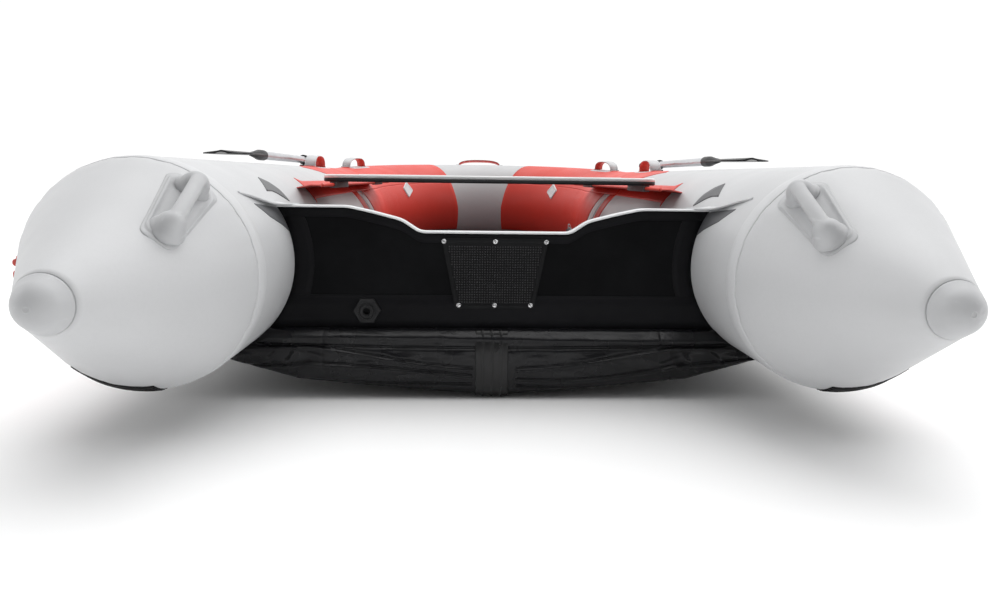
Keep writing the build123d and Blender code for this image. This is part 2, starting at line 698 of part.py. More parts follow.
# ---- Hull bottom ----
def hull_station(progress_angle):
    """Half width, y and drop share of the hull at a plan angle of the bow, or None for straight."""
    x, v = bow_point(progress_angle, -join_r)
    y = shoulder_y + v * cos(bow_tilt)
    lift = v * sin(bow_tilt)
    share = 1 - (progress_angle / 90) ** HULL_FADE_POWER
    return x, y, axis_z + lift - join_drop, max(share, HULL_LEAST_SHARE)


def hull_stations(last_angle):
    rows = [(tube_x - join_r, transom_y, axis_z - join_drop, 1.0)]
    rows += [hull_station(a) for a in HULL_BOW_STEPS if a <= last_angle]
    return rows


def hull_height(row, x):
    """Height of the skin's inner face at a distance x from the centreline."""
    half, _, join_z, share = row
    chine = half * CHINE_SHARE
    keel = join_z - HULL_DROP * share
    chine_z = join_z - CHINE_DROP * share
    if x >= chine:
        return join_z + (chine_z - join_z) * (half - x) / (half - chine)
    return chine_z + (keel - chine_z) * (chine - x) / chine


def band(row, xs, bottom, top):
    """Closed outline across the hull, between two offsets from the skin's inner face."""
    right = [(x, hull_height(row, x)) for x in xs]
    across = [(-x, z) for x, z in right] + [(x, z) for x, z in reversed(right[:-1])]
    lower = [(x, z + bottom) for x, z in across]
    upper = [(x, z + top) for x, z in reversed(across)]
    return lower + upper


def hull_loft(rows, widths, bottom, top):
    with BuildPart() as skin:
        for row in rows:
            with BuildSketch(Plane(origin=(0, row[1], 0), x_dir=(1, 0, 0), z_dir=(0, -1, 0))):
                with BuildLine():
                    Polyline(*band(row, widths(row), bottom, top), close=True)
                make_face()
        loft(ruled=True)
    return skin.part


def full_width(row):
    return [row[0], row[0] * CHINE_SHARE, 0.0]


def strake_width(row):
    return [KEEL_STRAKE_WIDTH / 2, 0.0]


hull_skin = hull_loft(hull_stations(HULL_BOW_STEPS[-1]), full_width, -HULL_SKIN, 0.0)
save(hull_skin, "hull_bottom")
strake_rows = hull_stations(STRAKE_LAST_ANGLE)
with BuildPart() as keel_strake:
    # Its top starts inside the skin and is cut to it
    add(hull_loft(strake_rows, strake_width, -HULL_SKIN - KEEL_STRAKE_THICKNESS, -HULL_SKIN / 2))
    add(hull_skin, mode=Mode.SUBTRACT)
save(keel_strake.part, "keel_strake")

aft_row = hull_stations(0)[0]


def hull_end(inset):
    """Rolled aft end of the hull, under the transom's lower edge."""
    with BuildPart() as roll:
        with BuildSketch(transom_face):
            with BuildLine():
                half = aft_row[0] - inset
                chine = half * CHINE_SHARE
                keel_z = hull_height(aft_row, 0) - axis_z - HULL_SKIN + inset
                chine_z = hull_height(aft_row, aft_row[0] * CHINE_SHARE) - axis_z - HULL_SKIN + inset
                Polyline(
                    (-tube_x, HULL_LAP_TOP - inset),
                    (tube_x, HULL_LAP_TOP - inset),
                    (half, -join_drop + inset),
                    (chine, chine_z),
                    (0, keel_z),
                    (-chine, chine_z),
                    (-half, -join_drop + inset),
                    close=True,
                )
            make_face()
            for sign in SIDES.values():
                with Locations((sign * tube_x, 0)):
                    Circle(tube_r + inset, mode=Mode.SUBTRACT)
                with Locations((sign * (tube_x + join_r), 0)):
                    Rectangle(2 * join_r, TUBE_DIAMETER * 1.1, mode=Mode.SUBTRACT)
        extrude(amount=HULL_ROLL - inset)
        rim = roll.faces().sort_by(Axis.Y)[0].outer_wire().edges()
        low = [e for e in rim if e.center().Z < axis_z - join_drop and abs(e.center().X) < tube_x / 2]
        fillet(low, HULL_ROLL * 0.7 - inset)
    return roll.part


with BuildPart() as hull_roll:
    add(hull_end(0))
    add(hull_end(HULL_SKIN), mode=Mode.SUBTRACT)
save(hull_roll.part, "hull_end_roll")

# ---- Inflatable keel under the deck ----
keel_start = transom_y + KEEL_TUBE_AFT_SETBACK
keel_length = shoulder_y - KEEL_TUBE_BOW_SETBACK - keel_start
keel_z = aft_row[2] - HULL_DROP + KEEL_TUBE_DIAMETER / 2 + RUNNING_GAP
with BuildPart() as keel_tube:
    with BuildSketch(Plane(origin=(0, keel_start, keel_z), z_dir=(0, 1, 0))):
        Circle(KEEL_TUBE_DIAMETER / 2)
        Circle(KEEL_TUBE_DIAMETER / 2 - FABRIC, mode=Mode.SUBTRACT)
    extrude(amount=keel_length)
    for y in (keel_start - FABRIC, keel_start + keel_length):
        with BuildSketch(Plane(origin=(0, y, keel_z), z_dir=(0, 1, 0))):
            Circle(KEEL_TUBE_DIAMETER / 2)
        extrude(amount=FABRIC)
save(keel_tube.part, "keel_tube")

# ---- Air deck: two skins and a side band ----
deck_half = tube_x - sqrt(tube_r**2 - deck_top**2) - DECK_EDGE_GAP
deck_aft = inner_face_y + DRAIN_FLANGE_THICKNESS + DRAIN_PLUG_HEAD + DECK_AFT_GAP


def deck_outline(inset):
    """Deck outline in plan: straight sides, and a front that follows the bow."""
    x = deck_half - inset
    with BuildLine() as outline:
        Line((x, deck_aft + inset), (x, shoulder_y))
        bow_arcs(x - tube_x, shoulder_y)
        Line((-x, shoulder_y), (-x, deck_aft + inset))
        Line((-x, deck_aft + inset), (x, deck_aft + inset))
    make_face(outline.edges())


deck_top_z = axis_z + deck_top
deck_base_z = deck_top_z - DECK_THICKNESS
with BuildPart() as air_deck_skins:
    for z in (deck_base_z, deck_top_z - DECK_SKIN):
        with BuildSketch(Plane.XY.offset(z)):
            deck_outline(0)
        extrude(amount=DECK_SKIN)
save(air_deck_skins.part, "air_deck_skins")

with BuildPart() as air_deck_side_band:
    with BuildSketch(Plane.XY.offset(deck_base_z + DECK_SKIN)):
        deck_outline(0)
    extrude(amount=DECK_THICKNESS - 2 * DECK_SKIN)
    with BuildSketch(Plane.XY.offset(deck_base_z + DECK_SKIN)):
        deck_outline(DECK_SKIN)
    extrude(amount=DECK_THICKNESS - 2 * DECK_SKIN, mode=Mode.SUBTRACT)
save(air_deck_side_band.part, "air_deck_side_band")


# ---- Rub strakes, wear strips ----
def strake_section(sign):
    """Strake on the tube's outer side, its back fitted to the tube."""
    back_r = tube_r + TAPE_THICKNESS
    sag = back_r - sqrt(back_r**2 - (STRAKE_HEIGHT / 2) ** 2)
    with Locations((sign * (tube_r + STRAKE_THICKNESS / 2 - sag / 2), 0)):
        Rectangle(STRAKE_THICKNESS + sag, STRAKE_HEIGHT)
    Circle(back_r, mode=Mode.SUBTRACT)


with BuildPart() as rub_strake_sides:
    for sign in SIDES.values():
        with BuildSketch(Plane(origin=(sign * tube_x, seam_y, axis_z), x_dir=(1, 0, 0), z_dir=(0, -1, 0))):
            strake_section(sign)
        extrude(amount=-(shoulder_y + mitre_stub - seam_y))
    split(bisect_by=mitre, keep=Keep.BOTTOM)
save(rub_strake_sides.part, "rub_strake_sides")

with BuildPart() as rub_strake_bow:
    with BuildLine(bow_plane) as strake_route:
        bow_line()
    with BuildSketch(
        Plane(origin=strake_route.wire() @ 0, x_dir=(1, 0, 0), z_dir=strake_route.wire() % 0)
    ):
        strake_section(1)
    sweep(path=strake_route.wire())
    split(bisect_by=mitre, keep=Keep.TOP)
save(rub_strake_bow.part, "rub_strake_bow")

with BuildPart() as wear_strips:
    for sign in SIDES.values():
        with BuildSketch(
            Plane(
                origin=(sign * tube_x, transom_y - WEAR_STRIP_OVERHANG, axis_z),
                x_dir=(sign, 0, 0),
                z_dir=(0, -sign, 0),
            )
        ):
            with BuildLine():
                reach = tube_r + WEAR_STRIP_THICKNESS
                first = -90 - WEAR_STRIP_INNER_ANGLE
                sweep_angle = WEAR_STRIP_OUTER_ANGLE + WEAR_STRIP_INNER_ANGLE
                outer = CenterArc((0, 0), reach, first, sweep_angle)
                inner = CenterArc((0, 0), tube_r, first, sweep_angle)
                Line(outer @ 0, inner @ 0)
                Line(outer @ 1, inner @ 1)
            make_face()
        extrude(amount=-sign * (bow_tape_y - RUNNING_GAP - transom_y + WEAR_STRIP_OVERHANG))
save(wear_strips.part, "wear_strips")


# ---- Seats, and the roped rails they slide on ----
bead_r = RAIL_BEAD_DIAMETER / 2
bead_z = SEAT_BOTTOM - TRACK_WALL - RUNNING_GAP - bead_r
rail_root_height = SEAT_BOTTOM - RAIL_ROOT_DROP
rail_root_x = tube_x - sqrt(tube_r**2 - rail_root_height**2)


def cross_plane(y):
    """Plane across the boat at y, its x to starboard and its y up from the tube axis."""
    return Plane(origin=(0, y, axis_z), x_dir=(1, 0, 0), z_dir=(0, -1, 0))


for side, sign in SIDES.items():
    with BuildPart() as seat_rail:
        with BuildSketch(cross_plane(transom_y + RAIL_START)):
            with BuildLine():
                half = RAIL_THICKNESS / 2
                Polyline(
                    (sign * (rail_root_x + RAIL_ROOT), rail_root_height - half),
                    (sign * RAIL_BEAD_X, bead_z - half),
                    (sign * RAIL_BEAD_X, bead_z + half),
                    (sign * (rail_root_x + RAIL_ROOT), rail_root_height + half),
                    close=True,
                )
            make_face()
            with Locations((sign * RAIL_BEAD_X, bead_z)):
                Circle(bead_r)
            with Locations((sign * tube_x, 0)):
                Circle(tube_r, mode=Mode.SUBTRACT)
        extrude(amount=-(bow_tape_y - RAIL_END_SETBACK - transom_y - RAIL_START))
    save(seat_rail.part, f"seat_rail_{side}")

for name, place in (("aft", SEAT_AFT_Y), ("forward", SEAT_FORWARD_Y)):
    seat_y = transom_y + place
    with BuildPart() as seat_board:
        with BuildSketch(Plane(origin=(0, seat_y, axis_z + SEAT_BOTTOM))):
            RectangleRounded(SEAT_LENGTH, SEAT_WIDTH, SEAT_END_RADIUS)
        extrude(amount=SEAT_THICKNESS)
        rim_faces = seat_board.faces().filter_by(Axis.Z)
        fillet([e for f in rim_faces for e in f.outer_wire().edges()], SEAT_EDGE_RADIUS)
    save(seat_board.part, f"seat_board_{name}")

    # A track under each end grips the rail's bead and is open towards the tube
    with BuildPart() as seat_tracks:
        for sign in SIDES.values():
            hollow = bead_r + RUNNING_GAP
            outer = hollow + TRACK_WALL
            with BuildSketch(cross_plane(seat_y + SEAT_WIDTH / 2 - TRACK_END_INSET)):
                with Locations((sign * RAIL_BEAD_X, SEAT_BOTTOM - outer)):
                    Rectangle(2 * outer, 2 * outer)
                with Locations((sign * RAIL_BEAD_X, bead_z)):
                    Circle(hollow, mode=Mode.SUBTRACT)
                with Locations((sign * (RAIL_BEAD_X + outer), bead_z - 1)):
                    Rectangle(2 * outer, TRACK_MOUTH + 2, mode=Mode.SUBTRACT)
            extrude(amount=SEAT_WIDTH - 2 * TRACK_END_INSET)
    save(seat_tracks.part, f"seat_tracks_{name}")


# ---- Grab handles on the tube tops ----
def arch(span, height, strap):
    """Side view of a strap handle, sketched with its feet on y = 0."""
    top = span * GRAB_HANDLE_FLAT / 2
    foot = span / 2 - 1.6 * strap
    inner_top = top - 0.6 * strap
    with BuildLine() as outline:
        Polyline((-span / 2, 0), (-top, height), (top, height), (span / 2, 0), (foot, 0))
        Polyline((foot, 0), (inner_top, height - strap), (-inner_top, height - strap), (-foot, 0))
        Line((-foot, 0), (-span / 2, 0))
    make_face(outline.edges())


def strap_handle(base, span):
    """Strap handle whose feet stand on a surface plane, its length along the plane's x."""
    side = Plane(
        origin=base.from_local_coords((0, GRAB_HANDLE_WIDTH / 2, -GRAB_HANDLE_STRAP)),
        x_dir=base.x_dir,
        z_dir=-base.y_dir,
    )
    with BuildPart() as strap:
        with BuildSketch(side):
            arch(span, GRAB_HANDLE_HEIGHT + GRAB_HANDLE_STRAP, GRAB_HANDLE_STRAP)
        extrude(amount=GRAB_HANDLE_WIDTH)
    return strap.part


patch_r = tube_r + GRAB_PATCH_THICKNESS
aft_handle_y = transom_y + GRAB_HANDLE_Y
forward_base = on_bow(GRAB_HANDLE_BOW_ANGLE, GRAB_HANDLE_TILT)
bow_handle_base = on_bow(90, BOW_HANDLE_TILT)
bow_solid = bow_tube(tube_r, 0)
bow_patch_solid = bow_tube(patch_r, 0)

for side, sign in SIDES.items():
    with BuildPart() as grab_handles:
        add(strap_handle(on_side(sign, aft_handle_y, GRAB_HANDLE_TILT), GRAB_HANDLE_LENGTH))
        add(tube_pair(patch_r), mode=Mode.SUBTRACT)
    with BuildPart() as forward_handle:
        base = forward_base if sign > 0 else mirrored(forward_base)
        add(strap_handle(base, GRAB_HANDLE_LENGTH))
        add(bow_patch_solid, mode=Mode.SUBTRACT)
    save(Compound(children=[grab_handles.part, forward_handle.part]), f"grab_handles_{side}")


def handle_patch(base, span, limit, core):
    """Fabric patch under a strap handle, wrapped on the tube."""
    with BuildPart() as patch:
        with BuildSketch(base.offset(-tube_r / 4)):
            length = span + 2 * GRAB_PATCH_MARGIN
            RectangleRounded(length, GRAB_HANDLE_WIDTH + 2 * GRAB_PATCH_MARGIN, GRAB_PATCH_MARGIN)
        extrude(amount=tube_r / 2)
        add(limit, mode=Mode.INTERSECT)
        add(core, mode=Mode.SUBTRACT)
    return patch.part


patches = []
for sign in SIDES.values():
    base = on_side(sign, aft_handle_y, GRAB_HANDLE_TILT)
    patches.append(handle_patch(base, GRAB_HANDLE_LENGTH, tube_pair(patch_r), tube_pair(tube_r)))
for base in (forward_base, mirrored(forward_base)):
    patches.append(handle_patch(base, GRAB_HANDLE_LENGTH, bow_patch_solid, bow_solid))
patches.append(handle_patch(bow_handle_base, BOW_HANDLE_SPAN, bow_patch_solid, bow_solid))
save(Compound(children=patches), "grab_handle_patches")

# ---- Bow fittings ----
with BuildPart() as bow_handle:
    add(strap_handle(bow_handle_base, BOW_HANDLE_SPAN))
    add(bow_patch_solid, mode=Mode.SUBTRACT)
save(bow_handle.part, "bow_handle")

with BuildPart() as bow_tabs:
    starboard_tab = on_bow(BOW_TAB_ANGLE, BOW_TAB_TILT, inner=True)
    for tab in (starboard_tab, mirrored(starboard_tab)):
        with BuildSketch(tab.offset(-BOW_TAB_THICKNESS)):
            RectangleRounded(*BOW_TAB_SIZE, BOW_TAB_RADIUS)
        extrude(amount=2 * BOW_TAB_THICKNESS)
    add(bow_solid, mode=Mode.SUBTRACT)
save(bow_tabs.part, "bow_tabs")

tow_plane = on_bow(90, -tow_tilt)
eye_plane = tow_plane.offset(TOW_EYE_STANDOFF)
with BuildPart() as tow_patch:
    with BuildSketch(tow_plane.offset(-TOW_PATCH_BACK)):
        Circle(TOW_PATCH_DIAMETER / 2)
    extrude(amount=TOW_PATCH_BACK + TOW_PATCH_THICKNESS)
    with BuildSketch(Plane(origin=eye_plane.origin, x_dir=eye_plane.z_dir, z_dir=eye_plane.x_dir)):
        Circle(TOW_RING_WIRE / 2 + TOW_LUG_WALL)
        with Locations((-TOW_EYE_STANDOFF / 2, 0)):
            Rectangle(TOW_EYE_STANDOFF, TOW_RING_WIRE + 2 * TOW_LUG_WALL)
        Circle(TOW_RING_WIRE / 2 + RUNNING_GAP / 2, mode=Mode.SUBTRACT)
    extrude(amount=TOW_LUG_WIDTH / 2, both=True)
    add(bow_solid, mode=Mode.SUBTRACT)
save(tow_patch.part, "tow_patch")

# D ring: a straight bar through the lug and a half round bow that hangs from it
ring_r = TOW_RING_MEAN_DIAMETER / 2
with BuildPart() as tow_ring:
    with BuildSketch(Plane(origin=eye_plane.origin - Vector(ring_r, 0, 0), z_dir=(1, 0, 0))):
        Circle(TOW_RING_WIRE / 2)
    extrude(amount=2 * ring_r)
    for end in (-1, 1):
        start = eye_plane.origin + Vector(end * ring_r, 0, 0)
        with BuildSketch(Plane(origin=start + Vector(0, 0, TOW_RING_WIRE / 2), z_dir=(0, 0, -1))):
            Circle(TOW_RING_WIRE / 2)
        extrude(amount=TOW_RING_LEG + TOW_RING_WIRE / 2)
    with BuildSketch(Plane(origin=eye_plane.origin + Vector(ring_r, 0, -TOW_RING_LEG), z_dir=(0, 0, 1))):
        Circle(TOW_RING_WIRE / 2)
    revolve(axis=Axis(eye_plane.origin - Vector(0, 0, TOW_RING_LEG), (0, 1, 0)), revolution_arc=180)
save(tow_ring.part, "tow_ring")


# ---- Oars and oarlocks ----
oar_z = axis_z + OAR_HEIGHT
oar_pin_y = transom_y + OAR_PIN_Y
ring_inner_r = OAR_SHAFT_DIAMETER / 2
ring_outer_r = ring_inner_r + OARLOCK_RING_WALL
pin_top = oar_z - ring_inner_r
boss_top = oar_z - ring_outer_r - RUNNING_GAP
pin_bottom = boss_top - OARLOCK_PIN_LENGTH

with BuildPart() as oarlock_bases:
    for sign in SIDES.values():
        with BuildSketch(Plane(origin=(sign * OAR_X, oar_pin_y, axis_z + tube_r / 2))):
            Circle(OARLOCK_BASE_DIAMETER / 2)
        extrude(amount=tube_r)
    add(tube_pair(tube_r + OARLOCK_BASE_PAD), mode=Mode.INTERSECT)
    for sign in SIDES.values():
        with BuildSketch(Plane(origin=(sign * OAR_X, oar_pin_y, axis_z + tube_r / 2))):
            Circle(OARLOCK_BOSS_DIAMETER / 2)
        extrude(amount=boss_top - axis_z - tube_r / 2)
        with BuildSketch(Plane(origin=(sign * OAR_X, oar_pin_y, boss_top))):
            Circle(OARLOCK_PIN_DIAMETER / 2 + RUNNING_GAP / 8)
        extrude(amount=-(OARLOCK_PIN_LENGTH + RUNNING_GAP), mode=Mode.SUBTRACT)
    add(tube_pair(tube_r), mode=Mode.SUBTRACT)
save(oarlock_bases.part, "oarlock_bases")

for side, sign in SIDES.items():
    x = sign * OAR_X
    loom_end = oar_pin_y + OAR_LOOM
    blade_root = oar_pin_y - OAR_BLADE_START
    with BuildPart() as oarlock:
        with BuildSketch(Plane(origin=(x, oar_pin_y, oar_z), z_dir=(0, 1, 0))):
            Circle(ring_outer_r)
            Circle(ring_inner_r, mode=Mode.SUBTRACT)
        extrude(amount=OARLOCK_RING_WIDTH / 2, both=True)
        with BuildSketch(Plane(origin=(x, oar_pin_y, pin_bottom))):
            Circle(OARLOCK_PIN_DIAMETER / 2)
        extrude(amount=oar_z - ring_inner_r - pin_bottom)
        with BuildSketch(Plane(origin=(x, oar_pin_y, oar_z), z_dir=(0, 1, 0))):
            Circle(ring_inner_r)
        extrude(amount=OARLOCK_RING_WIDTH, both=True, mode=Mode.SUBTRACT)
    save(oarlock.part, f"oarlock_{side}")

    with BuildPart() as oar_shaft:
        with BuildSketch(Plane(origin=(x, blade_root, oar_z), z_dir=(0, 1, 0))):
            Circle(OAR_SHAFT_DIAMETER / 2)
            Circle(OAR_SHAFT_DIAMETER / 2 - OAR_SHAFT_WALL, mode=Mode.SUBTRACT)
        extrude(amount=loom_end - blade_root)
        with BuildSketch(Plane(origin=(x, loom_end - GRIP_LENGTH, oar_z), z_dir=(0, 1, 0))):
            Circle(GRIP_DIAMETER / 2)
            Circle(OAR_SHAFT_DIAMETER / 2, mode=Mode.SUBTRACT)
        extrude(amount=GRIP_LENGTH)
        with BuildSketch(Plane(origin=(x, loom_end, oar_z), z_dir=(0, 1, 0))):
            Circle(GRIP_DIAMETER / 2)
        extrude(amount=GRIP_END)
    save(oar_shaft.part, f"oar_shaft_{side}")

    with BuildPart() as oar_blade:
        with BuildSketch(Plane(origin=(x, 0, oar_z - OAR_BLADE_THICKNESS / 2))):
            with BuildLine():
                half = OAR_BLADE_WIDTH / 2
                tip = blade_root - OAR_BLADE_LENGTH
                neck = OAR_SHAFT_DIAMETER / 2 + OAR_SOCKET_WALL
                share, setback = OAR_BLADE_SHOULDER
                wide_y = tip + OAR_BLADE_TIP
                Polyline((neck, blade_root), (half * share, blade_root - setback), (half, wide_y))
                ThreePointArc((half, wide_y), (0, tip), (-half, wide_y))
                Polyline((-half, wide_y), (-half * share, blade_root - setback), (-neck, blade_root))
                Line((-neck, blade_root), (neck, blade_root))
            make_face()
        extrude(amount=OAR_BLADE_THICKNESS)
        with BuildSketch(Plane(origin=(x, blade_root, oar_z), z_dir=(0, 1, 0))):
            Circle(neck)
        extrude(amount=OAR_SOCKET_LENGTH)
        with BuildSketch(Plane(origin=(x, blade_root, oar_z), z_dir=(0, 1, 0))):
            Circle(OAR_SHAFT_DIAMETER / 2)
        extrude(amount=OAR_SOCKET_LENGTH, mode=Mode.SUBTRACT)
    save(oar_blade.part, f"oar_blade_{side}")


# ---- Inflation valves ----
def tube_at(side):
    return bow_solid if side == "bow" else tube_pair(tube_r)


for side in ("port", "starboard", "bow"):
    plane = valve_plane(side)
    with BuildPart() as valve_body:
        with BuildSketch(plane.offset(-VALVE_FLANGE_THICKNESS)):
            Circle(VALVE_FLANGE_DIAMETER / 2)
        extrude(amount=2 * VALVE_FLANGE_THICKNESS)
        add(tube_at(side), mode=Mode.SUBTRACT)
        with BuildSketch(plane.offset(-VALVE_DEPTH)):
            Circle(VALVE_BODY_DIAMETER / 2)
        extrude(amount=VALVE_DEPTH + VALVE_BODY_HEIGHT)
        with BuildSketch(plane.offset(-VALVE_DEPTH + FABRIC)):
            Circle(VALVE_BORE / 2)
        extrude(amount=VALVE_DEPTH + VALVE_BODY_HEIGHT, mode=Mode.SUBTRACT)
        # A bridge across the bore guides the push pin
        with BuildSketch(plane.offset(-VALVE_DEPTH * 0.4)):
            Rectangle(VALVE_BORE + FABRIC, VALVE_PIN_DIAMETER + VALVE_BRIDGE)
            Circle(VALVE_PIN_DIAMETER / 2 + RUNNING_GAP / 8, mode=Mode.SUBTRACT)
        extrude(amount=VALVE_BRIDGE)
    save(valve_body.part, f"valve_body_{side}")

    with BuildPart() as valve_pin:
        with BuildSketch(plane.offset(VALVE_BODY_HEIGHT - VALVE_PIN_SINK - VALVE_PIN_LENGTH)):
            Circle(VALVE_PIN_DIAMETER / 2)
        extrude(amount=VALVE_PIN_LENGTH)
    save(valve_pin.part, f"valve_pin_{side}")

    with BuildPart() as valve_cap:
        with BuildSketch(plane.offset(VALVE_FLANGE_THICKNESS + RUNNING_GAP)):
            Circle(VALVE_CAP_DIAMETER / 2)
            Circle(VALVE_BODY_DIAMETER / 2 + RUNNING_GAP / 4, mode=Mode.SUBTRACT)
        extrude(amount=VALVE_BODY_HEIGHT - VALVE_FLANGE_THICKNESS)
        with BuildSketch(plane.offset(VALVE_BODY_HEIGHT + RUNNING_GAP)):
            Circle(VALVE_CAP_DIAMETER / 2)
        extrude(amount=VALVE_CAP_TOP)
        rims = valve_cap.edges().filter_by(GeomType.CIRCLE)
        outer_rim = rims.sort_by(lambda e: (e.center() - plane.origin).dot(plane.z_dir))[-1]
        chamfer(outer_rim, VALVE_CAP_CHAMFER)
    save(valve_cap.part, f"valve_cap_{side}")
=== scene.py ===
"""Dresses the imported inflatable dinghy: skins, fittings, finishes, light and camera."""

from math import asin, atan2, cos, hypot, pi, radians, sin, sqrt

import bmesh
import bpy
import numpy as np
from mathutils import Matrix, Vector


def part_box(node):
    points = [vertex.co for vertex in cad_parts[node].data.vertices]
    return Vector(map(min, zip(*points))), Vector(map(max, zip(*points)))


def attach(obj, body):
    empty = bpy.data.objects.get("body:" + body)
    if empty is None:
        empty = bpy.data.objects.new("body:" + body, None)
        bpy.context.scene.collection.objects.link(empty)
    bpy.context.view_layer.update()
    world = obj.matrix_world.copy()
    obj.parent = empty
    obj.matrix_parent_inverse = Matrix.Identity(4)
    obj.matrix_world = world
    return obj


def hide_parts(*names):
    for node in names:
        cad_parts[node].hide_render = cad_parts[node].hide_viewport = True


bl_info = {
    "name": "Inflatable dinghy looks",
    "version": (1, 0, 0),
    "blender": (4, 5, 0),
    "location": "3D View > Sidebar > Dinghy",
    "description": "Builds the skins, fittings and finishes of an inflatable dinghy",
    "category": "Object",
}

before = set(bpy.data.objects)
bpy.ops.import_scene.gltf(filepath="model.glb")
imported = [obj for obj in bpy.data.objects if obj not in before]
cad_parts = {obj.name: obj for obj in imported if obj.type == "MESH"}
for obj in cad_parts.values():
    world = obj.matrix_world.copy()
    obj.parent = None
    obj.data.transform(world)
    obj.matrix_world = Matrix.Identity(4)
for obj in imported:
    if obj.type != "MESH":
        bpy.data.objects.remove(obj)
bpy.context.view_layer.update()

# ---- Sizes read from the frame, in metres ----
tube_low, tube_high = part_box("tube_starboard")
TUBE_R = (tube_high.z - tube_low.z) / 2
TUBE_X = (tube_high.x + tube_low.x) / 2
AXIS_Z = (tube_high.z + tube_low.z) / 2
SEAM_Y = tube_low.y
board_low, board_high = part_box("transom_board")
TRANSOM_Y = board_low.y
INNER_Y = board_high.y
CAP_SEAM_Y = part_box("cone_cap_starboard")[1].y
DECK_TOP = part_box("air_deck_skins")[1].z
DECK_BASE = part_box("air_deck_skins")[0].z

# ---- Sizes that the frame's boxes don't give ----
BOW_SIDE_RADIUS = 1.1
BOW_SIDE_ANGLE = radians(35)
BOW_RISE = 0.04
CONE_TIP_INSET = 0.03
CONE_TIP_LIFT = 0.01
CAP_R = 0.045
CAP_NECK = 0.02
HULL_JOIN_ANGLE = radians(12)
HULL_DROP = 0.088
CHINE_DROP = 0.050
CHINE_SHARE = 0.711
HULL_SKIN = 0.0012
HULL_ROLL = 0.034
LAP_TOP = -0.154
CUTOUT_LINE = [(0.334, 0.124), (0.278, 0.112), (0.212, 0.095), (0.172, 0.068)]
DRAIN = (-0.293, -0.114)
PLATE = {"top": 0.123, "bottom": 0.091, "height": 0.163, "centre": -0.026, "thick": 0.004}
SEATS = ("aft", "forward")
CARRYING_HANDLE = {"share": 0.305, "angle": 132, "twist": radians(16.5)}
OAR_BLADE_HALF = 0.070
RAIL_ROOT = 0.158
RAIL_BEAD = 0.1676
BEAD_R = 0.005
WEAR_STRIP_START = -0.045
WEAR_STRIP_EDGES = (262, 306)
# The laps on the transom differ in thickness so that no two of their faces coincide
EDGE_LAP, FOOT_LAP, SIDE_LAP = 0.0012, 0.0016, 0.0009

CAMERA_PLACE = (-0.062, -2.854, 0.507)
CAMERA_YAW, CAMERA_PITCH, CAMERA_ROLL = radians(2.5), radians(8.88), radians(0.77)
CAMERA_LENS = 26.86

BOW_END_RADIUS = BOW_SIDE_RADIUS - (BOW_SIDE_RADIUS - TUBE_X) / cos(BOW_SIDE_ANGLE)
BOW_END_CENTRE = (BOW_SIDE_RADIUS - BOW_END_RADIUS) * sin(BOW_SIDE_ANGLE)
BOW_TILT = asin(BOW_RISE / (BOW_END_CENTRE + BOW_END_RADIUS))
SHOULDER_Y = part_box("tube_bow")[1].y - TUBE_R - (BOW_END_CENTRE + BOW_END_RADIUS) * cos(BOW_TILT)
CONE_LENGTH = SEAM_Y - CAP_SEAM_Y
STRAIGHT = SHOULDER_Y - SEAM_Y
SIDE_ARC = BOW_SIDE_RADIUS * BOW_SIDE_ANGLE
END_ARC = BOW_END_RADIUS * (pi / 2 - BOW_SIDE_ANGLE)
BOW_S = STRAIGHT + SIDE_ARC + END_ARC
TRANSOM_S = TRANSOM_Y - SEAM_Y
JOIN_R = TUBE_R * sin(HULL_JOIN_ANGLE)
JOIN_DROP = TUBE_R * cos(HULL_JOIN_ANGLE) + 0.0009

SIDES = {"port": -1, "starboard": 1}
finishes = {}


# ---- The tubes as a surface: distance along, angle round, height above ----
def spine(s):
    """Centres, outward and upward directions and radii of the starboard tube at distances s."""
    s = np.atleast_1d(np.asarray(s, float))
    k = np.clip(-s / CONE_LENGTH, 0, None)
    u = np.clip(s - STRAIGHT, 0, None)
    a1 = np.clip(u / BOW_SIDE_RADIUS, 0, BOW_SIDE_ANGLE)
    a = a1 + np.clip(u - SIDE_ARC, 0, None) / BOW_END_RADIUS
    first = u <= SIDE_ARC
    x_arc = np.where(
        first, TUBE_X - BOW_SIDE_RADIUS + BOW_SIDE_RADIUS * np.cos(a), BOW_END_RADIUS * np.cos(a)
    )
    v_arc = np.where(
        first, BOW_SIDE_RADIUS * np.sin(a), BOW_END_CENTRE + BOW_END_RADIUS * np.sin(a)
    )
    x = np.where(s <= STRAIGHT, TUBE_X - CONE_TIP_INSET * k, x_arc)
    y = np.where(s <= STRAIGHT, SEAM_Y + s, SHOULDER_Y + v_arc * cos(BOW_TILT))
    z = np.where(s <= STRAIGHT, AXIS_Z + CONE_TIP_LIFT * k, AXIS_Z + v_arc * sin(BOW_TILT))
    tilt = BOW_TILT * np.clip((s - STRAIGHT) / 0.02, 0, 1)
    centre = np.stack([x, y, z], -1)
    out = np.stack([np.cos(a), np.sin(a) * np.cos(tilt), np.sin(a) * np.sin(tilt)], -1)
    up = np.stack([np.zeros_like(a), -np.sin(tilt), np.cos(tilt)], -1)
    # The cone leaves the tube in a short soft bend
    cone = TUBE_R + (CAP_R - TUBE_R) * k
    bend = 0.03
    soft = np.where(
        np.abs(s) < bend, (CAP_R - TUBE_R) / CONE_LENGTH * (bend - s) ** 2 / (4 * bend), 0
    )
    radius = np.where(np.abs(s) < bend, TUBE_R + soft, np.where(s < 0, cone, TUBE_R))
    return centre, out, up, radius


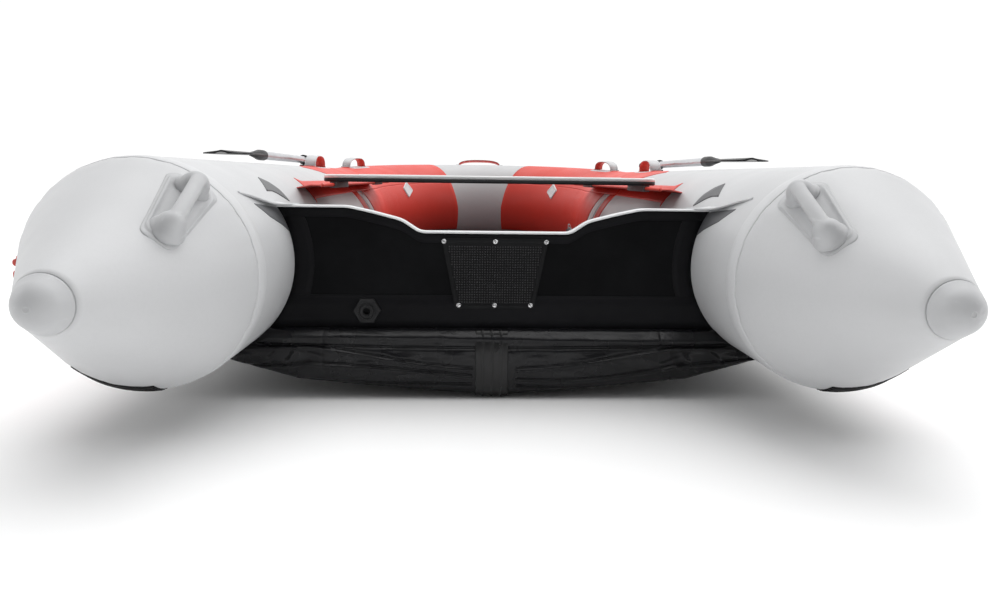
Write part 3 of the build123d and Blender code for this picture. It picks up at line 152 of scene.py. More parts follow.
def on_tube(side, s, degrees, height=0.0):
    """Points on a tube. 0 degrees is its outer side, 90 its top and 180 its inner side."""
    s, degrees, height = np.broadcast_arrays(
        np.asarray(s, float), np.asarray(degrees, float), np.asarray(height, float)
    )
    shape = s.shape
    centre, out, up, radius = spine(s.ravel())
    turn = np.radians(degrees.ravel())[:, None]
    reach = (radius + height.ravel())[:, None]
    points = centre + reach * (np.cos(turn) * out + np.sin(turn) * up)
    points[:, 0] *= side
    return points.reshape(shape + (3,))


def tube_normal(side, s, degrees):
    """Outward directions on a tube."""
    away = on_tube(side, s, degrees, 0.01) - on_tube(side, s, degrees, 0.0)
    return away / np.linalg.norm(away, axis=-1, keepdims=True)


# ---- Mesh making ----
def dress(obj, finish, smooth=True):
    """Gives a piece its material and shading."""
    obj.data.materials.clear()
    obj.data.materials.append(finishes[finish])
    for polygon in obj.data.polygons:
        polygon.use_smooth = smooth
    return obj


def piece(name, points, faces, finish, uv=None, smooth=True, recalc=False):
    """A mesh object from points and faces, with an optional cloth map in metres."""
    mesh = bpy.data.meshes.new(name)
    mesh.from_pydata(
        [tuple(map(float, p)) for p in points], [], [tuple(map(int, f)) for f in faces]
    )
    if uv is not None:
        layer = mesh.uv_layers.new(name="cloth")
        loops = np.zeros(len(mesh.loops), int)
        mesh.loops.foreach_get("vertex_index", loops)
        layer.data.foreach_set("uv", np.asarray(uv, float)[loops].ravel())
    if recalc:
        bm = bmesh.new()
        bm.from_mesh(mesh)
        bmesh.ops.remove_doubles(bm, verts=bm.verts, dist=1e-6)
        bmesh.ops.recalc_face_normals(bm, faces=bm.faces)
        bm.to_mesh(mesh)
        bm.free()
    mesh.update()
    obj = bpy.data.objects.new(name, mesh)
    bpy.context.scene.collection.objects.link(obj)
    return dress(obj, finish, smooth)


def grid_faces(rows, columns, close_rows=False, close_columns=False, flip=False, start=0):
    """Four-cornered faces of a grid of points, closed round either way if asked."""
    faces = []
    for i in range(rows if close_rows else rows - 1):
        for j in range(columns if close_columns else columns - 1):
            a = start + i * columns + j
            b = start + i * columns + (j + 1) % columns
            c = start + ((i + 1) % rows) * columns + (j + 1) % columns
            d = start + ((i + 1) % rows) * columns + j
            faces.append((a, d, c, b) if flip else (a, b, c, d))
    return faces


def sheet_grid(name, points, finish, uv=None, flip=False, **closing):
    """Open sheet over a grid of points."""
    rows, columns = points.shape[:2]
    faces = grid_faces(rows, columns, flip=flip, **closing)
    return piece(
        name, points.reshape(-1, 3), faces, finish, None if uv is None else uv.reshape(-1, 2)
    )


def join(pieces, name):
    """One object from several."""
    bpy.ops.object.select_all(action="DESELECT")
    for obj in pieces:
        obj.select_set(True)
    bpy.context.view_layer.objects.active = pieces[0]
    if len(pieces) > 1:
        bpy.ops.object.join()
    pieces[0].name = name
    pieces[0].data.name = name
    return pieces[0]


def settle(obj, body, slot, *nodes):
    """Fixes a finished piece to its body and hides the frame nodes it stands for."""
    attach(obj, body)
    if nodes:
        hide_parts(*nodes)
    return obj


def bake(obj):
    """Turns an object's modifiers into plain mesh."""
    graph = bpy.context.evaluated_depsgraph_get()
    mesh = bpy.data.meshes.new_from_object(obj.evaluated_get(graph))
    obj.modifiers.clear()
    old = obj.data
    obj.data = mesh
    bpy.data.meshes.remove(old)
    return obj


def patch(name, side, edge_a, edge_b, finish, height=0.0010, across=10, along=60):
    """Cloth overlay between two edges given as (distance, degrees) corners, with a sunk rim."""

    def walk(edge, count):
        edge = np.asarray(edge, float)
        steps = np.hypot(np.diff(edge[:, 0]), np.diff(np.radians(edge[:, 1])) * TUBE_R)
        place = np.concatenate([[0], np.cumsum(steps)])
        t = np.linspace(0, place[-1], count)
        return np.stack([np.interp(t, place, edge[:, i]) for i in (0, 1)], -1)

    # The first and last row and column stand under the rim, to sink it into the tube
    v = np.concatenate([[0], np.linspace(0, 1, across), [1]])
    w = np.concatenate([[0], np.linspace(0, 1, along), [1]])
    a = walk(edge_a, 400)
    b = walk(edge_b, 400)
    even = np.linspace(0, 1, 400)
    a, b = (np.stack([np.interp(w, even, edge[:, i]) for i in (0, 1)], -1) for edge in (a, b))
    place = a[None] * (1 - v[:, None, None]) + b[None] * v[:, None, None]
    lift = np.full(place.shape[:2], height)
    lift[0] = lift[-1] = lift[:, 0] = lift[:, -1] = -0.0008
    points = on_tube(side, place[..., 0], place[..., 1], lift)
    uv = np.stack([place[..., 0], np.radians(place[..., 1]) * TUBE_R], -1)
    obj = sheet_grid(name, points, finish, uv)
    middle = obj.data.polygons[len(obj.data.polygons) // 2]
    away = tube_normal(side, place[len(v) // 2, len(w) // 2, 0], place[len(v) // 2, len(w) // 2, 1])
    if middle.normal.dot(Vector(away)) < 0:
        obj.data.flip_normals()
    return obj


def rounded_outline(length, width, corner, count=96):
    """Points round a rectangle with round corners, starting on +x."""
    points = []
    per = count // 4
    for quarter in range(4):
        sx, sy = ((1, 1), (-1, 1), (-1, -1), (1, -1))[quarter]
        cx, cy = sx * (length / 2 - corner), sy * (width / 2 - corner)
        for i in range(per):
            turn = pi / 2 * (quarter + i / (per - 1))
            points.append((cx + corner * cos(turn), cy + corner * sin(turn)))
    return np.array(points)


def pad_on_tube(
    name, side, s, degrees, length, width, corner, profile, finish, count=96, twist=0.0
):
    """Raised pad that follows a tube. profile lists (share of the outline, height)."""
    outline = rounded_outline(length, width, corner, count)
    outline = outline @ np.array([[cos(twist), -sin(twist)], [sin(twist), cos(twist)]])
    rings = []
    radius = spine(s)[3][0]
    for share, lift in profile:
        u = outline * share
        rings.append(on_tube(side, s + u[:, 0], degrees + np.degrees(u[:, 1] / radius), lift))
    rings.append(on_tube(side, s, degrees, profile[-1][1])[None])
    points = np.concatenate(rings)
    n = len(outline)
    faces = []
    for i in range(len(profile) - 1):
        faces += grid_faces(2, n, close_columns=True, start=i * n)
    last = (len(profile) - 1) * n
    faces += [(last + j, last + (j + 1) % n, len(points) - 1) for j in range(n)]
    uv = np.concatenate([outline * share for share, _ in profile] + [[[0, 0]]])
    obj = piece(name, points, faces, finish, uv)
    away = Vector(tube_normal(side, s, degrees))
    if obj.data.polygons[-1].normal.dot(away) < 0:
        obj.data.flip_normals()
    return obj


def revolve(name, origin, axis, profile, finish, count=48, closed=False):
    """Turned piece: profile lists (distance along the axis, radius) from one end to the other."""
    axis = Vector(axis).normalized()
    side = axis.orthogonal().normalized()
    other = axis.cross(side)
    points = []
    for along, radius in profile:
        for j in range(count):
            turn = 2 * pi * j / count
            points.append(
                Vector(origin) + axis * along + (
                    side * cos(turn) + other * sin(turn)
                ) * max(radius, 1e-5)
            )
    faces = grid_faces(len(profile), count, close_columns=True, close_rows=closed)
    return piece(name, points, faces, finish, recalc=True)


def sweep(name, path, normals, section, finish):
    """Section (sideways, outwards) carried along a path, with a closed outline."""
    path, normals, section = (np.asarray(a, float) for a in (path, normals, section))
    tangent = np.gradient(path, axis=0)
    tangent /= np.linalg.norm(tangent, axis=1, keepdims=True)
    sideways = np.cross(tangent, normals)
    sideways /= np.linalg.norm(sideways, axis=1, keepdims=True)
    points = (
        path[:, None]
        + section[None, :, :1] * sideways[:, None]
        + section[None, :, 1:] * normals[:, None]
    )
    n, m = points.shape[:2]
    faces = grid_faces(n, m, close_columns=True)
    faces += [tuple(range(m)), tuple(range((n - 1) * m, n * m))[::-1]]
    length = np.concatenate([[0], np.cumsum(np.linalg.norm(np.diff(path, axis=0), axis=1))])
    around = np.concatenate([[0], np.cumsum(np.linalg.norm(np.diff(section, axis=0), axis=1))])
    uv = np.stack(np.broadcast_arrays(length[:, None], around[None]), -1).reshape(-1, 2)
    return piece(name, points.reshape(-1, 3), faces, finish, uv, recalc=True)


def tube_line(name, path, radius, finish, count=14):
    """Round bar along a path."""
    path = np.asarray(path, float)
    tangent = np.gradient(path, axis=0)
    steep = abs(tangent[0][2]) >= 0.9 * np.linalg.norm(tangent[0])
    guide = np.array([1.0, 0, 0]) if steep else np.array([0.0, 0.0, 1.0])
    normals = []
    for t in tangent:
        t = t / np.linalg.norm(t)
        guide = guide - t * guide.dot(t)
        guide /= np.linalg.norm(guide)
        normals.append(guide.copy())
    turn = np.linspace(0, 2 * pi, count, endpoint=False)
    section = np.stack([np.cos(turn), np.sin(turn)], -1) * radius
    return sweep(name, path, normals, section, finish)


def slab(name, low, high, finish, uv=None):
    """Closed shell between two grids of points."""
    rows, columns = low.shape[:2]
    n = rows * columns
    faces = grid_faces(rows, columns) + grid_faces(rows, columns, flip=True, start=n)
    rim = (
        list(range(columns))
        + [i * columns + columns - 1 for i in range(1, rows)]
        + [(rows - 1) * columns + j for j in range(columns - 2, -1, -1)]
        + [i * columns for i in range(rows - 2, 0, -1)]
    )
    for a, b in zip(rim, rim[1:] + rim[:1]):
        faces.append((a, b, b + n, a + n))
    points = np.concatenate([low.reshape(-1, 3), high.reshape(-1, 3)])
    if uv is not None:
        uv = np.concatenate([uv.reshape(-1, 2)] * 2)
    return piece(name, points, faces, finish, uv, recalc=True)


def melt(obj, voxel, rounds=6, factor=0.5):
    """Fuses a piece's parts into one moulded form and rounds it."""
    remesh = obj.modifiers.new("fuse", "REMESH")
    remesh.mode = "VOXEL"
    remesh.voxel_size = voxel
    smooth = obj.modifiers.new("round", "SMOOTH")
    smooth.factor = factor
    smooth.iterations = rounds
    bake(obj)
    for polygon in obj.data.polygons:
        polygon.use_smooth = True
    return obj


# ---- Geometry node trees ----
def new_tree(name, inputs):
    """An empty tree with its named inputs."""
    tree = bpy.data.node_groups.new(name, "GeometryNodeTree")
    tree.interface.new_socket("Geometry", in_out="INPUT", socket_type="NodeSocketGeometry")
    for label, kind, default in inputs:
        socket = tree.interface.new_socket(label, in_out="INPUT", socket_type=kind)
        if default is not None:
            socket.default_value = default
    tree.interface.new_socket("Geometry", in_out="OUTPUT", socket_type="NodeSocketGeometry")
    return tree, tree.nodes.new("NodeGroupInput"), tree.nodes.new("NodeGroupOutput")


def end_tree(tree, instances, finish, output):
    """Ends a tree in real mesh with its material."""
    realize = tree.nodes.new("GeometryNodeRealizeInstances")
    paint = tree.nodes.new("GeometryNodeSetMaterial")
    paint.inputs["Material"].default_value = finishes[finish]
    tree.links.new(instances, realize.inputs[0])
    tree.links.new(realize.outputs[0], paint.inputs["Geometry"])
    tree.links.new(paint.outputs[0], output.inputs[0])


def turned_copies(tree):
    """Node that puts instances on points, turned by the carrier's turn attribute."""
    place = tree.nodes.new("GeometryNodeInstanceOnPoints")
    turn = tree.nodes.new("GeometryNodeInputNamedAttribute")
    turn.data_type = "FLOAT_VECTOR"
    turn.inputs["Name"].default_value = "turn"
    tree.links.new(turn.outputs["Attribute"], place.inputs["Rotation"])
    return place


def copies_tree(name, finish):
    """Places a shape on each point of the carrier."""
    tree, entry, output = new_tree(
        name, [("Shape", "NodeSocketObject", None), ("Size", "NodeSocketFloat", 1.0)]
    )
    info = tree.nodes.new("GeometryNodeObjectInfo")
    place = turned_copies(tree)
    tree.links.new(entry.outputs["Shape"], info.inputs["Object"])
    tree.links.new(entry.outputs["Geometry"], place.inputs["Points"])
    tree.links.new(info.outputs["Geometry"], place.inputs["Instance"])
    tree.links.new(entry.outputs["Size"], place.inputs["Scale"])
    end_tree(tree, place.outputs["Instances"], finish, output)
    return tree


def nub_tree(name, finish):
    """Puts a small tapered nub on each point of the carrier."""
    tree, entry, output = new_tree(
        name,
        [
            ("Base", "NodeSocketFloat", 0.0016),
            ("Top", "NodeSocketFloat", 0.001),
            ("Height", "NodeSocketFloat", 0.0016),
        ],
    )
    nub = tree.nodes.new("GeometryNodeMeshCone")
    nub.inputs["Vertices"].default_value = 6
    place = turned_copies(tree)
    tree.links.new(entry.outputs["Base"], nub.inputs["Radius Bottom"])
    tree.links.new(entry.outputs["Top"], nub.inputs["Radius Top"])
    tree.links.new(entry.outputs["Height"], nub.inputs["Depth"])
    tree.links.new(entry.outputs["Geometry"], place.inputs["Points"])
    tree.links.new(nub.outputs["Mesh"], place.inputs["Instance"])
    end_tree(tree, place.outputs["Instances"], finish, output)
    return tree


def row_tree(name, finish):
    """Repeats a shape in a straight row."""
    tree, entry, output = new_tree(
        name,
        [
            ("Shape", "NodeSocketObject", None),
            ("Count", "NodeSocketInt", 10),
            ("Step", "NodeSocketVector", (0, 0.01, 0)),
        ],
    )
    line = tree.nodes.new("GeometryNodeMeshLine")
    line.mode = "OFFSET"
    info = tree.nodes.new("GeometryNodeObjectInfo")
    place = tree.nodes.new("GeometryNodeInstanceOnPoints")
    tree.links.new(entry.outputs["Count"], line.inputs["Count"])
    tree.links.new(entry.outputs["Step"], line.inputs["Offset"])
    tree.links.new(entry.outputs["Shape"], info.inputs["Object"])
    tree.links.new(line.outputs["Mesh"], place.inputs["Points"])
    tree.links.new(info.outputs["Geometry"], place.inputs["Instance"])
    end_tree(tree, place.outputs["Instances"], finish, output)
    return tree


def grow(name, tree, points=(), turns=(), **values):
    """Runs a tree on a carrier of loose points and keeps the result as plain mesh."""
    mesh = bpy.data.meshes.new(name)
    mesh.from_pydata([tuple(map(float, p)) for p in points], [], [])
    if len(points):
        turn = mesh.attributes.new("turn", "FLOAT_VECTOR", "POINT")
        turns = turns if len(turns) else [(0, 0, 0)] * len(points)
        turn.data.foreach_set("vector", np.asarray(turns, np.float32).ravel())
    obj = bpy.data.objects.new(name, mesh)
    bpy.context.scene.collection.objects.link(obj)
    modifier = obj.modifiers.new("repeat", "NODES")
    modifier.node_group = tree
    for item in tree.interface.items_tree:
        if item.in_out == "INPUT" and item.name in values:
            modifier[item.identifier] = values[item.name]
    bake(obj)
    shape = values.get("Shape")
    if shape is not None:
        bpy.data.objects.remove(shape)
    return obj


# ---- Finishes ----
class Recipe:
    """A material being built from nodes."""

    def __init__(self, name, colour, rough, metal=0.0, specular=0.5):
        self.material = bpy.data.materials.new(name)
        self.material.use_nodes = True
        self.tree = self.material.node_tree
        self.shader = self.tree.nodes["Principled BSDF"]
        self.shader.inputs["Base Color"].default_value = (*colour, 1)
        self.shader.inputs["Roughness"].default_value = rough
        self.shader.inputs["Metallic"].default_value = metal
        self.shader.inputs["Specular IOR Level"].default_value = specular
        self.colour = colour
        self.normal = None
        finishes[name] = self.material

    def node(self, kind, links=(), **values):
        made = self.tree.nodes.new(kind)
        for key, value in values.items():
            if hasattr(made, key):
                setattr(made, key, value)
            else:
                made.inputs[key.replace("_", " ")].default_value = value
        for socket, source in dict(links).items():
            self.tree.links.new(source, made.inputs[socket])
        return made

    def coords(self, cloth):
        if cloth:
            return self.node("ShaderNodeUVMap", uv_map="cloth").outputs[0]
        return self.node("ShaderNodeTexCoord").outputs["Object"]

    def noise(self, where, scale, detail=3.0, stretch=None, distortion=0.0):
        if stretch:
            where = self.node("ShaderNodeMapping", {"Vector": where}, Scale=stretch).outputs[0]
        return self.node(
            "ShaderNodeTexNoise", {"Vector": where}, Scale=scale, Detail=detail,
            Distortion=distortion
        ).outputs["Fac"]

    def span(self, source, low, high, to_low, to_high):
        made = self.node("ShaderNodeMapRange", {"Value": source})
        for key, value in zip(
            ("From Min", "From Max", "To Min", "To Max"), (low, high, to_low, to_high)
        ):
            made.inputs[key].default_value = value
        return made.outputs[0]

    def mix(self, factor, a, b):
        made = self.tree.nodes.new("ShaderNodeMix")
        made.data_type = "RGBA"
        for value, index in ((a, 6), (b, 7)):
            if isinstance(value, tuple):
                made.inputs[index].default_value = (*value, 1)
            else:
                self.tree.links.new(value, made.inputs[index])
        self.tree.links.new(factor, made.inputs[0])
        return made.outputs[2]

    def tint(self, factor, shade):
        """Colour that drifts between the base and a shade of it."""
        current = self.shader.inputs["Base Color"]
        base = current.links[0].from_socket if current.links else self.colour
        darker = tuple(min(1, c * shade) for c in self.colour)
        self.tree.links.new(self.mix(factor, base, darker), current)

    def gloss(self, factor, low, high):
        self.tree.links.new(self.span(factor, 0.3, 0.7, low, high), self.shader.inputs["Roughness"])

    def bump(self, height, distance, strength=1.0):
        links = {"Height": height}
        if self.normal is not None:
            links["Normal"] = self.normal
        made = self.node("ShaderNodeBump", links, Strength=strength, Distance=distance)
        self.normal = made.outputs[0]
        self.tree.links.new(self.normal, self.shader.inputs["Normal"])

    def weave(self, where, pitch, depth):
        """Plain weave that shows faintly through a coating."""
        threads = []
        for direction in ("X", "Y"):
            threads.append(
                self.node(
                    "ShaderNodeTexWave", {"Vector": where}, bands_direction=direction,
                    Scale=0.314 / pitch
                ).outputs["Fac"]
            )
        both = self.node(
            "ShaderNodeMath", {0: threads[0], 1: threads[1]}, operation="MULTIPLY"
        ).outputs[0]
        self.bump(both, depth, 0.6)


def coated_cloth(name, colour, rough, pitch, cloth=True, shade=0.93, crease=0.0, specular=0.4):
    """Coated boat fabric: faint weave, slight drift of tone, soft patches of gloss."""
    r = Recipe(name, colour, rough, specular=specular)
    where = r.coords(cloth)
    body = r.coords(False)
    r.tint(r.span(r.noise(body, 3.0, 2.0), 0.35, 0.7, 0.0, 0.8), shade)
    r.tint(r.span(r.noise(body, 160.0, 2.0), 0.45, 0.75, 0.0, 0.25), shade)
    r.gloss(r.noise(body, 11.0, 3.0), rough - 0.05, rough + 0.07)
    if crease:
        r.bump(r.noise(body, 7.0, 5.0, distortion=1.2), crease, 0.8)
        r.bump(r.noise(body, 30.0, 4.0, stretch=(1, 0.4, 2.2), distortion=0.8), crease * 0.25, 0.7)
    r.bump(r.noise(body, 2.2, 1.0), 0.004, 0.25)
    r.weave(where, pitch, 0.00012)
    return r


def moulding(name, colour, rough, grain=900.0, shade=0.85, specular=0.5):
    """Moulded rubber or plastic: fine grain, scuffed lighter and darker in places."""
    r = Recipe(name, colour, rough, specular=specular)
    where = r.coords(False)
    r.tint(r.span(r.noise(where, 9.0, 4.0), 0.4, 0.7, 0.0, 0.7), shade)
    r.tint(r.span(r.noise(where, 60.0, 6.0, stretch=(1, 0.25, 1)), 0.62, 0.74, 0.0, 0.5), 1.25)
    r.gloss(r.noise(where, 24.0, 3.0), rough - 0.07, rough + 0.08)
    r.bump(r.noise(where, grain, 2.0), 0.00018, 0.5)
    return r


def brushed(name, colour, rough, stretch):
    """Metal with fine drawn lines."""
    r = Recipe(name, colour, rough, metal=1.0)
    where = r.coords(False)
    lines = r.noise(where, 260.0, 3.0, stretch=stretch)
    r.gloss(lines, rough - 0.08, rough + 0.14)
    r.tint(r.span(r.noise(where, 14.0, 3.0), 0.4, 0.7, 0.0, 0.6), 0.8)
    r.bump(lines, 0.00006, 0.4)
    return r


COLOUR = {"subtype": "COLOR", "size": 3, "min": 0, "max": 1}


class DinghyFinishSettings(bpy.types.PropertyGroup):
    """Colours and weave of the cloth and mouldings"""

    light_cloth: bpy.props.FloatVectorProperty(
        name="Light cloth", description="Colour of the tubes", default=(0.60, 0.605, 0.615),
        **COLOUR
    )
    light_rubber: bpy.props.FloatVectorProperty(
        name="Light mouldings", description="Colour of the caps and carrying handles",
        default=(0.50, 0.505, 0.515), **COLOUR
    )
    red_cloth: bpy.props.FloatVectorProperty(
        name="Red cloth", description="Colour of the inner panels and flaps",
        default=(0.78, 0.060, 0.040), **COLOUR
    )
    black_cloth: bpy.props.FloatVectorProperty(
        name="Black cloth", description="Colour of the hull", default=(0.006, 0.006, 0.007),
        **COLOUR
    )
    deck_cloth: bpy.props.FloatVectorProperty(
        name="Deck", description="Colour of the air deck", default=(0.11, 0.113, 0.12), **COLOUR
    )
    weave_pitch: bpy.props.FloatProperty(
        name="Weave pitch", description="Distance between the cloth's threads", subtype="DISTANCE",
        min=0.0004, max=0.01, default=0.0018
    )


class DinghyShapeSettings(bpy.types.PropertyGroup):
    """Sizes of tapes, nubs, ribs, creases and stitches"""

    tape_width: bpy.props.FloatProperty(
        name="Tape width", description="Width of the tapes over the tube seams",
        subtype="DISTANCE", min=0.01, max=0.04, default=0.04
    )
    nub_pitch: bpy.props.FloatProperty(
        name="Nub pitch", description="Spacing of the motor plate's nubs", subtype="DISTANCE",
        min=0.004, max=0.02, default=0.0058
    )
    tread_pitch: bpy.props.FloatProperty(
        name="Tread pitch", description="Spacing of the wear strips' slanted ribs",
        subtype="DISTANCE", min=0.006, max=0.05, default=0.011
    )
    hull_creases: bpy.props.FloatProperty(
        name="Hull creases", description="Depth of the creases in the hull's rolled end",
        subtype="DISTANCE", min=0.0, max=0.01, default=0.0045
    )
    stitch_length: bpy.props.FloatProperty(
        name="Stitch length", description="Length of a stitch on the straps", subtype="DISTANCE",
        min=0.002, max=0.01, default=0.0045
    )


class DinghyStageSettings(bpy.types.PropertyGroup):
    """Strength of the lights and the paleness of the surroundings"""

    key_power: bpy.props.FloatProperty(
        name="Key light", description="Power of the large light above the starboard side",
        subtype="POWER", min=0, max=2000, default=32
    )
    top_power: bpy.props.FloatProperty(
        name="Top light", description="Strength of the soft light from above", min=0, max=10,
        default=1.75
    )
    sky: bpy.props.FloatProperty(
        name="Sky", description="Strength of the even white surroundings", min=0, max=3,
        default=1.04
    )
    floor: bpy.props.FloatProperty(
        name="Floor", description="How pale the floor is", subtype="FACTOR", min=0, max=1,
        default=0.97
    )


# ---- Finishes and stage ----
def build_finishes(colours):
    light, red, black = (
        tuple(c) for c in (colours.light_cloth, colours.red_cloth, colours.black_cloth)
    )
    pitch = colours.weave_pitch
    coated_cloth("light_fabric", light, 0.42, pitch)
    coated_cloth("light_lap", tuple(c * 1.06 for c in light), 0.45, pitch, cloth=False)
    coated_cloth("bright_stripe", (0.80, 0.81, 0.82), 0.42, pitch)
    coated_cloth("red_fabric", red, 0.45, pitch, shade=0.86)
    coated_cloth("red_flap", red, 0.45, pitch, cloth=False, shade=0.8)
    # Dark grey of the fins; the same finish paints the shadow on the tubes under the gussets
    coated_cloth("dark_grey_and_painted_shadow", (0.11, 0.112, 0.118), 0.45, pitch)
    coated_cloth(
        "black_fabric", black, 0.26, pitch, cloth=False, shade=1.8, crease=0.006, specular=0.3
    )
    coated_cloth(
        "black_lap", tuple(c * 1.1 for c in black), 0.55, pitch, cloth=False, shade=1.5,
        crease=0.002, specular=0.09,
    )
    deck = coated_cloth(
        "deck_fabric", tuple(colours.deck_cloth), 0.55, 0.004, cloth=False, shade=0.8
    )
    where = deck.coords(False)
    grooves = deck.node(
        "ShaderNodeTexWave", {"Vector": where}, bands_direction="X", Scale=0.314 / 0.035
    ).outputs["Fac"]
    # Colour darkened along the grooves: painted shade in them
    deck.tint(deck.span(grooves, 0.0, 0.12, 0.7, 0.0), 0.45)
    deck.bump(deck.span(grooves, 0.0, 0.15, 0.0, 1.0), 0.0012, 0.8)
    moulding("light_moulding", tuple(colours.light_rubber), 0.46)
    moulding("black_rubber", (0.008, 0.008, 0.0085), 0.62, shade=1.5, specular=0.2)
    moulding("keel_rubber", (0.007, 0.007, 0.0075), 0.34, shade=1.5, specular=0.45)
    moulding("black_plastic", (0.008, 0.008, 0.009), 0.4, shade=1.6, specular=0.25)
    moulding("nub_plastic", (0.03, 0.03, 0.032), 0.42, grain=700.0, shade=1.5)
    moulding("plate_plastic", (0.006, 0.0062, 0.007), 0.5, grain=700.0, shade=1.5, specular=0.16)
    moulding("red_rubber", (0.55, 0.045, 0.03), 0.45, shade=0.75)
    moulding("grey_plastic", (0.16, 0.165, 0.17), 0.5)
    board = moulding(
        "coated_plywood", (0.0052, 0.0054, 0.006), 0.55, grain=420.0, shade=1.7, specular=0.05
    )
    where = board.coords(False)
    board.bump(board.noise(where, 26.0, 6.0, stretch=(0.35, 1, 2.4)), 0.0012, 0.5)
    # Near-white top layer of the seats: pale colour that also paints the highlight of the lit aft
    # edge
    pale_top_finish = moulding("seat_laminate", (0.93, 0.93, 0.93), 0.34, grain=500.0, shade=0.92)
    pale_top_finish.bump(
        pale_top_finish.noise(pale_top_finish.coords(False), 70.0, 3.0, stretch=(0.08, 1, 1)), 0.0002, 0.5
    )
    # Black lower layer of the seats: the dark underside, also painting shade on the lower part of
    # the edge
    moulding("seat_dark_base_and_shade", (0.02, 0.02, 0.022), 0.45, shade=1.5)
    brushed("aluminium", (0.62, 0.63, 0.65), 0.32, (1, 0.03, 1))
    brushed("stainless", (0.66, 0.66, 0.67), 0.24, (1, 1, 0.1))
    moulding("thread", (0.62, 0.62, 0.62), 0.6)


NODE_FINISH = {
    "transom_board": "coated_plywood",
    "motor_plate_outer": "plate_plastic",
    "motor_plate_inner": "plate_plastic",
    "drain_body": "black_plastic",
    "drain_nut": "black_plastic",
    "drain_plug": "black_rubber",
    "keel_tube": "black_fabric",
    "chamber_baffles": "light_lap",
    "tow_patch": "light_moulding",
    "tow_ring": "stainless",
    "oarlock_bases": "black_rubber",
    "oarlock_port": "black_plastic",
    "oarlock_starboard": "black_plastic",
    "oar_shaft_port": "aluminium",
    "oar_shaft_starboard": "aluminium",
    "valve_body_port": "light_moulding",
    "valve_body_starboard": "light_moulding",
    "valve_body_bow": "light_moulding",
    "valve_cap_port": "grey_plastic",
    "valve_cap_starboard": "grey_plastic",
    "valve_cap_bow": "grey_plastic",
    "valve_pin_port": "black_plastic",
    "valve_pin_starboard": "black_plastic",
    "valve_pin_bow": "black_plastic",
    "seat_tracks_aft": "grey_plastic",
    "seat_tracks_forward": "grey_plastic",
}


def finish_frame():
    """Paints the frame's own pieces that stay in view."""
    for name, finish in NODE_FINISH.items():
        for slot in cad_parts[name].material_slots:
            slot.material = finishes[finish]


def place_camera():
    """Camera low behind the stern, looking forward and slightly down."""
    data = bpy.data.cameras.new("Camera")
    camera = bpy.data.objects.new("Camera", data)
    bpy.context.scene.collection.objects.link(camera)
    data.lens = CAMERA_LENS
    data.sensor_width = 36
    data.clip_start = 0.05
    data.clip_end = 200
    ahead = Vector((sin(CAMERA_YAW), cos(CAMERA_YAW), 0))
    right = Vector((cos(CAMERA_YAW), -sin(CAMERA_YAW), 0))
    up = Vector((0, 0, 1))
    view = ahead * cos(CAMERA_PITCH) - up * sin(CAMERA_PITCH)
    top = up * cos(CAMERA_PITCH) + ahead * sin(CAMERA_PITCH)
    right_rolled = right * cos(CAMERA_ROLL) + top * sin(CAMERA_ROLL)
    top_rolled = top * cos(CAMERA_ROLL) - right * sin(CAMERA_ROLL)
    turn = Matrix((right_rolled, top_rolled, -view)).transposed().to_4x4()
    camera.matrix_world = Matrix.Translation(CAMERA_PLACE) @ turn
    bpy.context.scene.camera = camera


def area_light(name, place, aim, size, power):
    data = bpy.data.lights.new(name, "AREA")
    data.shape = "RECTANGLE"
    data.size, data.size_y = size
    data.energy = power
    light = bpy.data.objects.new(name, data)
    bpy.context.scene.collection.objects.link(light)
    light.location = place
    light.rotation_euler = (Vector(aim) - Vector(place)).to_track_quat("-Z", "Y").to_euler()


def build_stage(stage):
    """Camera, graded white sky, three soft lights and a pale floor."""
    place_camera()
    scene = bpy.context.scene
    scene.view_settings.view_transform = "Standard"
    world = bpy.data.worlds.new("even_sky")
    world.use_nodes = True
    sky = world.node_tree
    # The sky is brighter ahead of the boat than behind the camera
    where = sky.nodes.new("ShaderNodeTexCoord").outputs["Generated"]
    parts = sky.nodes.new("ShaderNodeSeparateXYZ")
    sky.links.new(where, parts.inputs[0])
    fade = sky.nodes.new("ShaderNodeMapRange")
    for key, value in zip(
        ("From Min", "From Max", "To Min", "To Max"), (-0.75, 0.35, 0.12 * stage.sky, stage.sky)
    ):
        fade.inputs[key].default_value = value
    sky.links.new(parts.outputs["Y"], fade.inputs["Value"])
    sky.nodes["Background"].inputs["Color"].default_value = (1, 1, 1, 1)
    sky.links.new(fade.outputs[0], sky.nodes["Background"].inputs["Strength"])
    scene.world = world
    area_light("key", (4.2, -1.6, 2.2), (0.6, -1.0, 0.3), (1.6, 2.6), stage.key_power)
    area_light("fill", (-4.2, -1.8, 1.9), (-0.6, -1.2, 0.3), (1.6, 2.6), stage.key_power * 0.7)
    data = bpy.data.lights.new("top", "SUN")
    data.energy = stage.top_power
    data.angle = radians(70)
    light = bpy.data.objects.new("top", data)
    bpy.context.scene.collection.objects.link(light)
    light.rotation_euler = (radians(-12), radians(10), 0)
    floor_finish = Recipe("pale_floor", (stage.floor,) * 3, 0.9, specular=0.1)
    where = floor_finish.coords(False)
    floor_finish.tint(
        floor_finish.span(floor_finish.noise(where, 1.5, 3.0), 0.4, 0.7, 0.0, 0.5), 0.99
    )
    floor_finish.bump(floor_finish.noise(where, 220.0, 2.0), 0.0002, 0.3)
    floor_r, corners = 60, 96
    turns = np.linspace(0, 2 * pi, corners, endpoint=False)
    rim = np.stack([floor_r * np.cos(turns), floor_r * np.sin(turns), np.full(corners, -0.001)], -1)
    floor = piece("floor", rim, [tuple(range(corners))], "pale_floor", smooth=False)


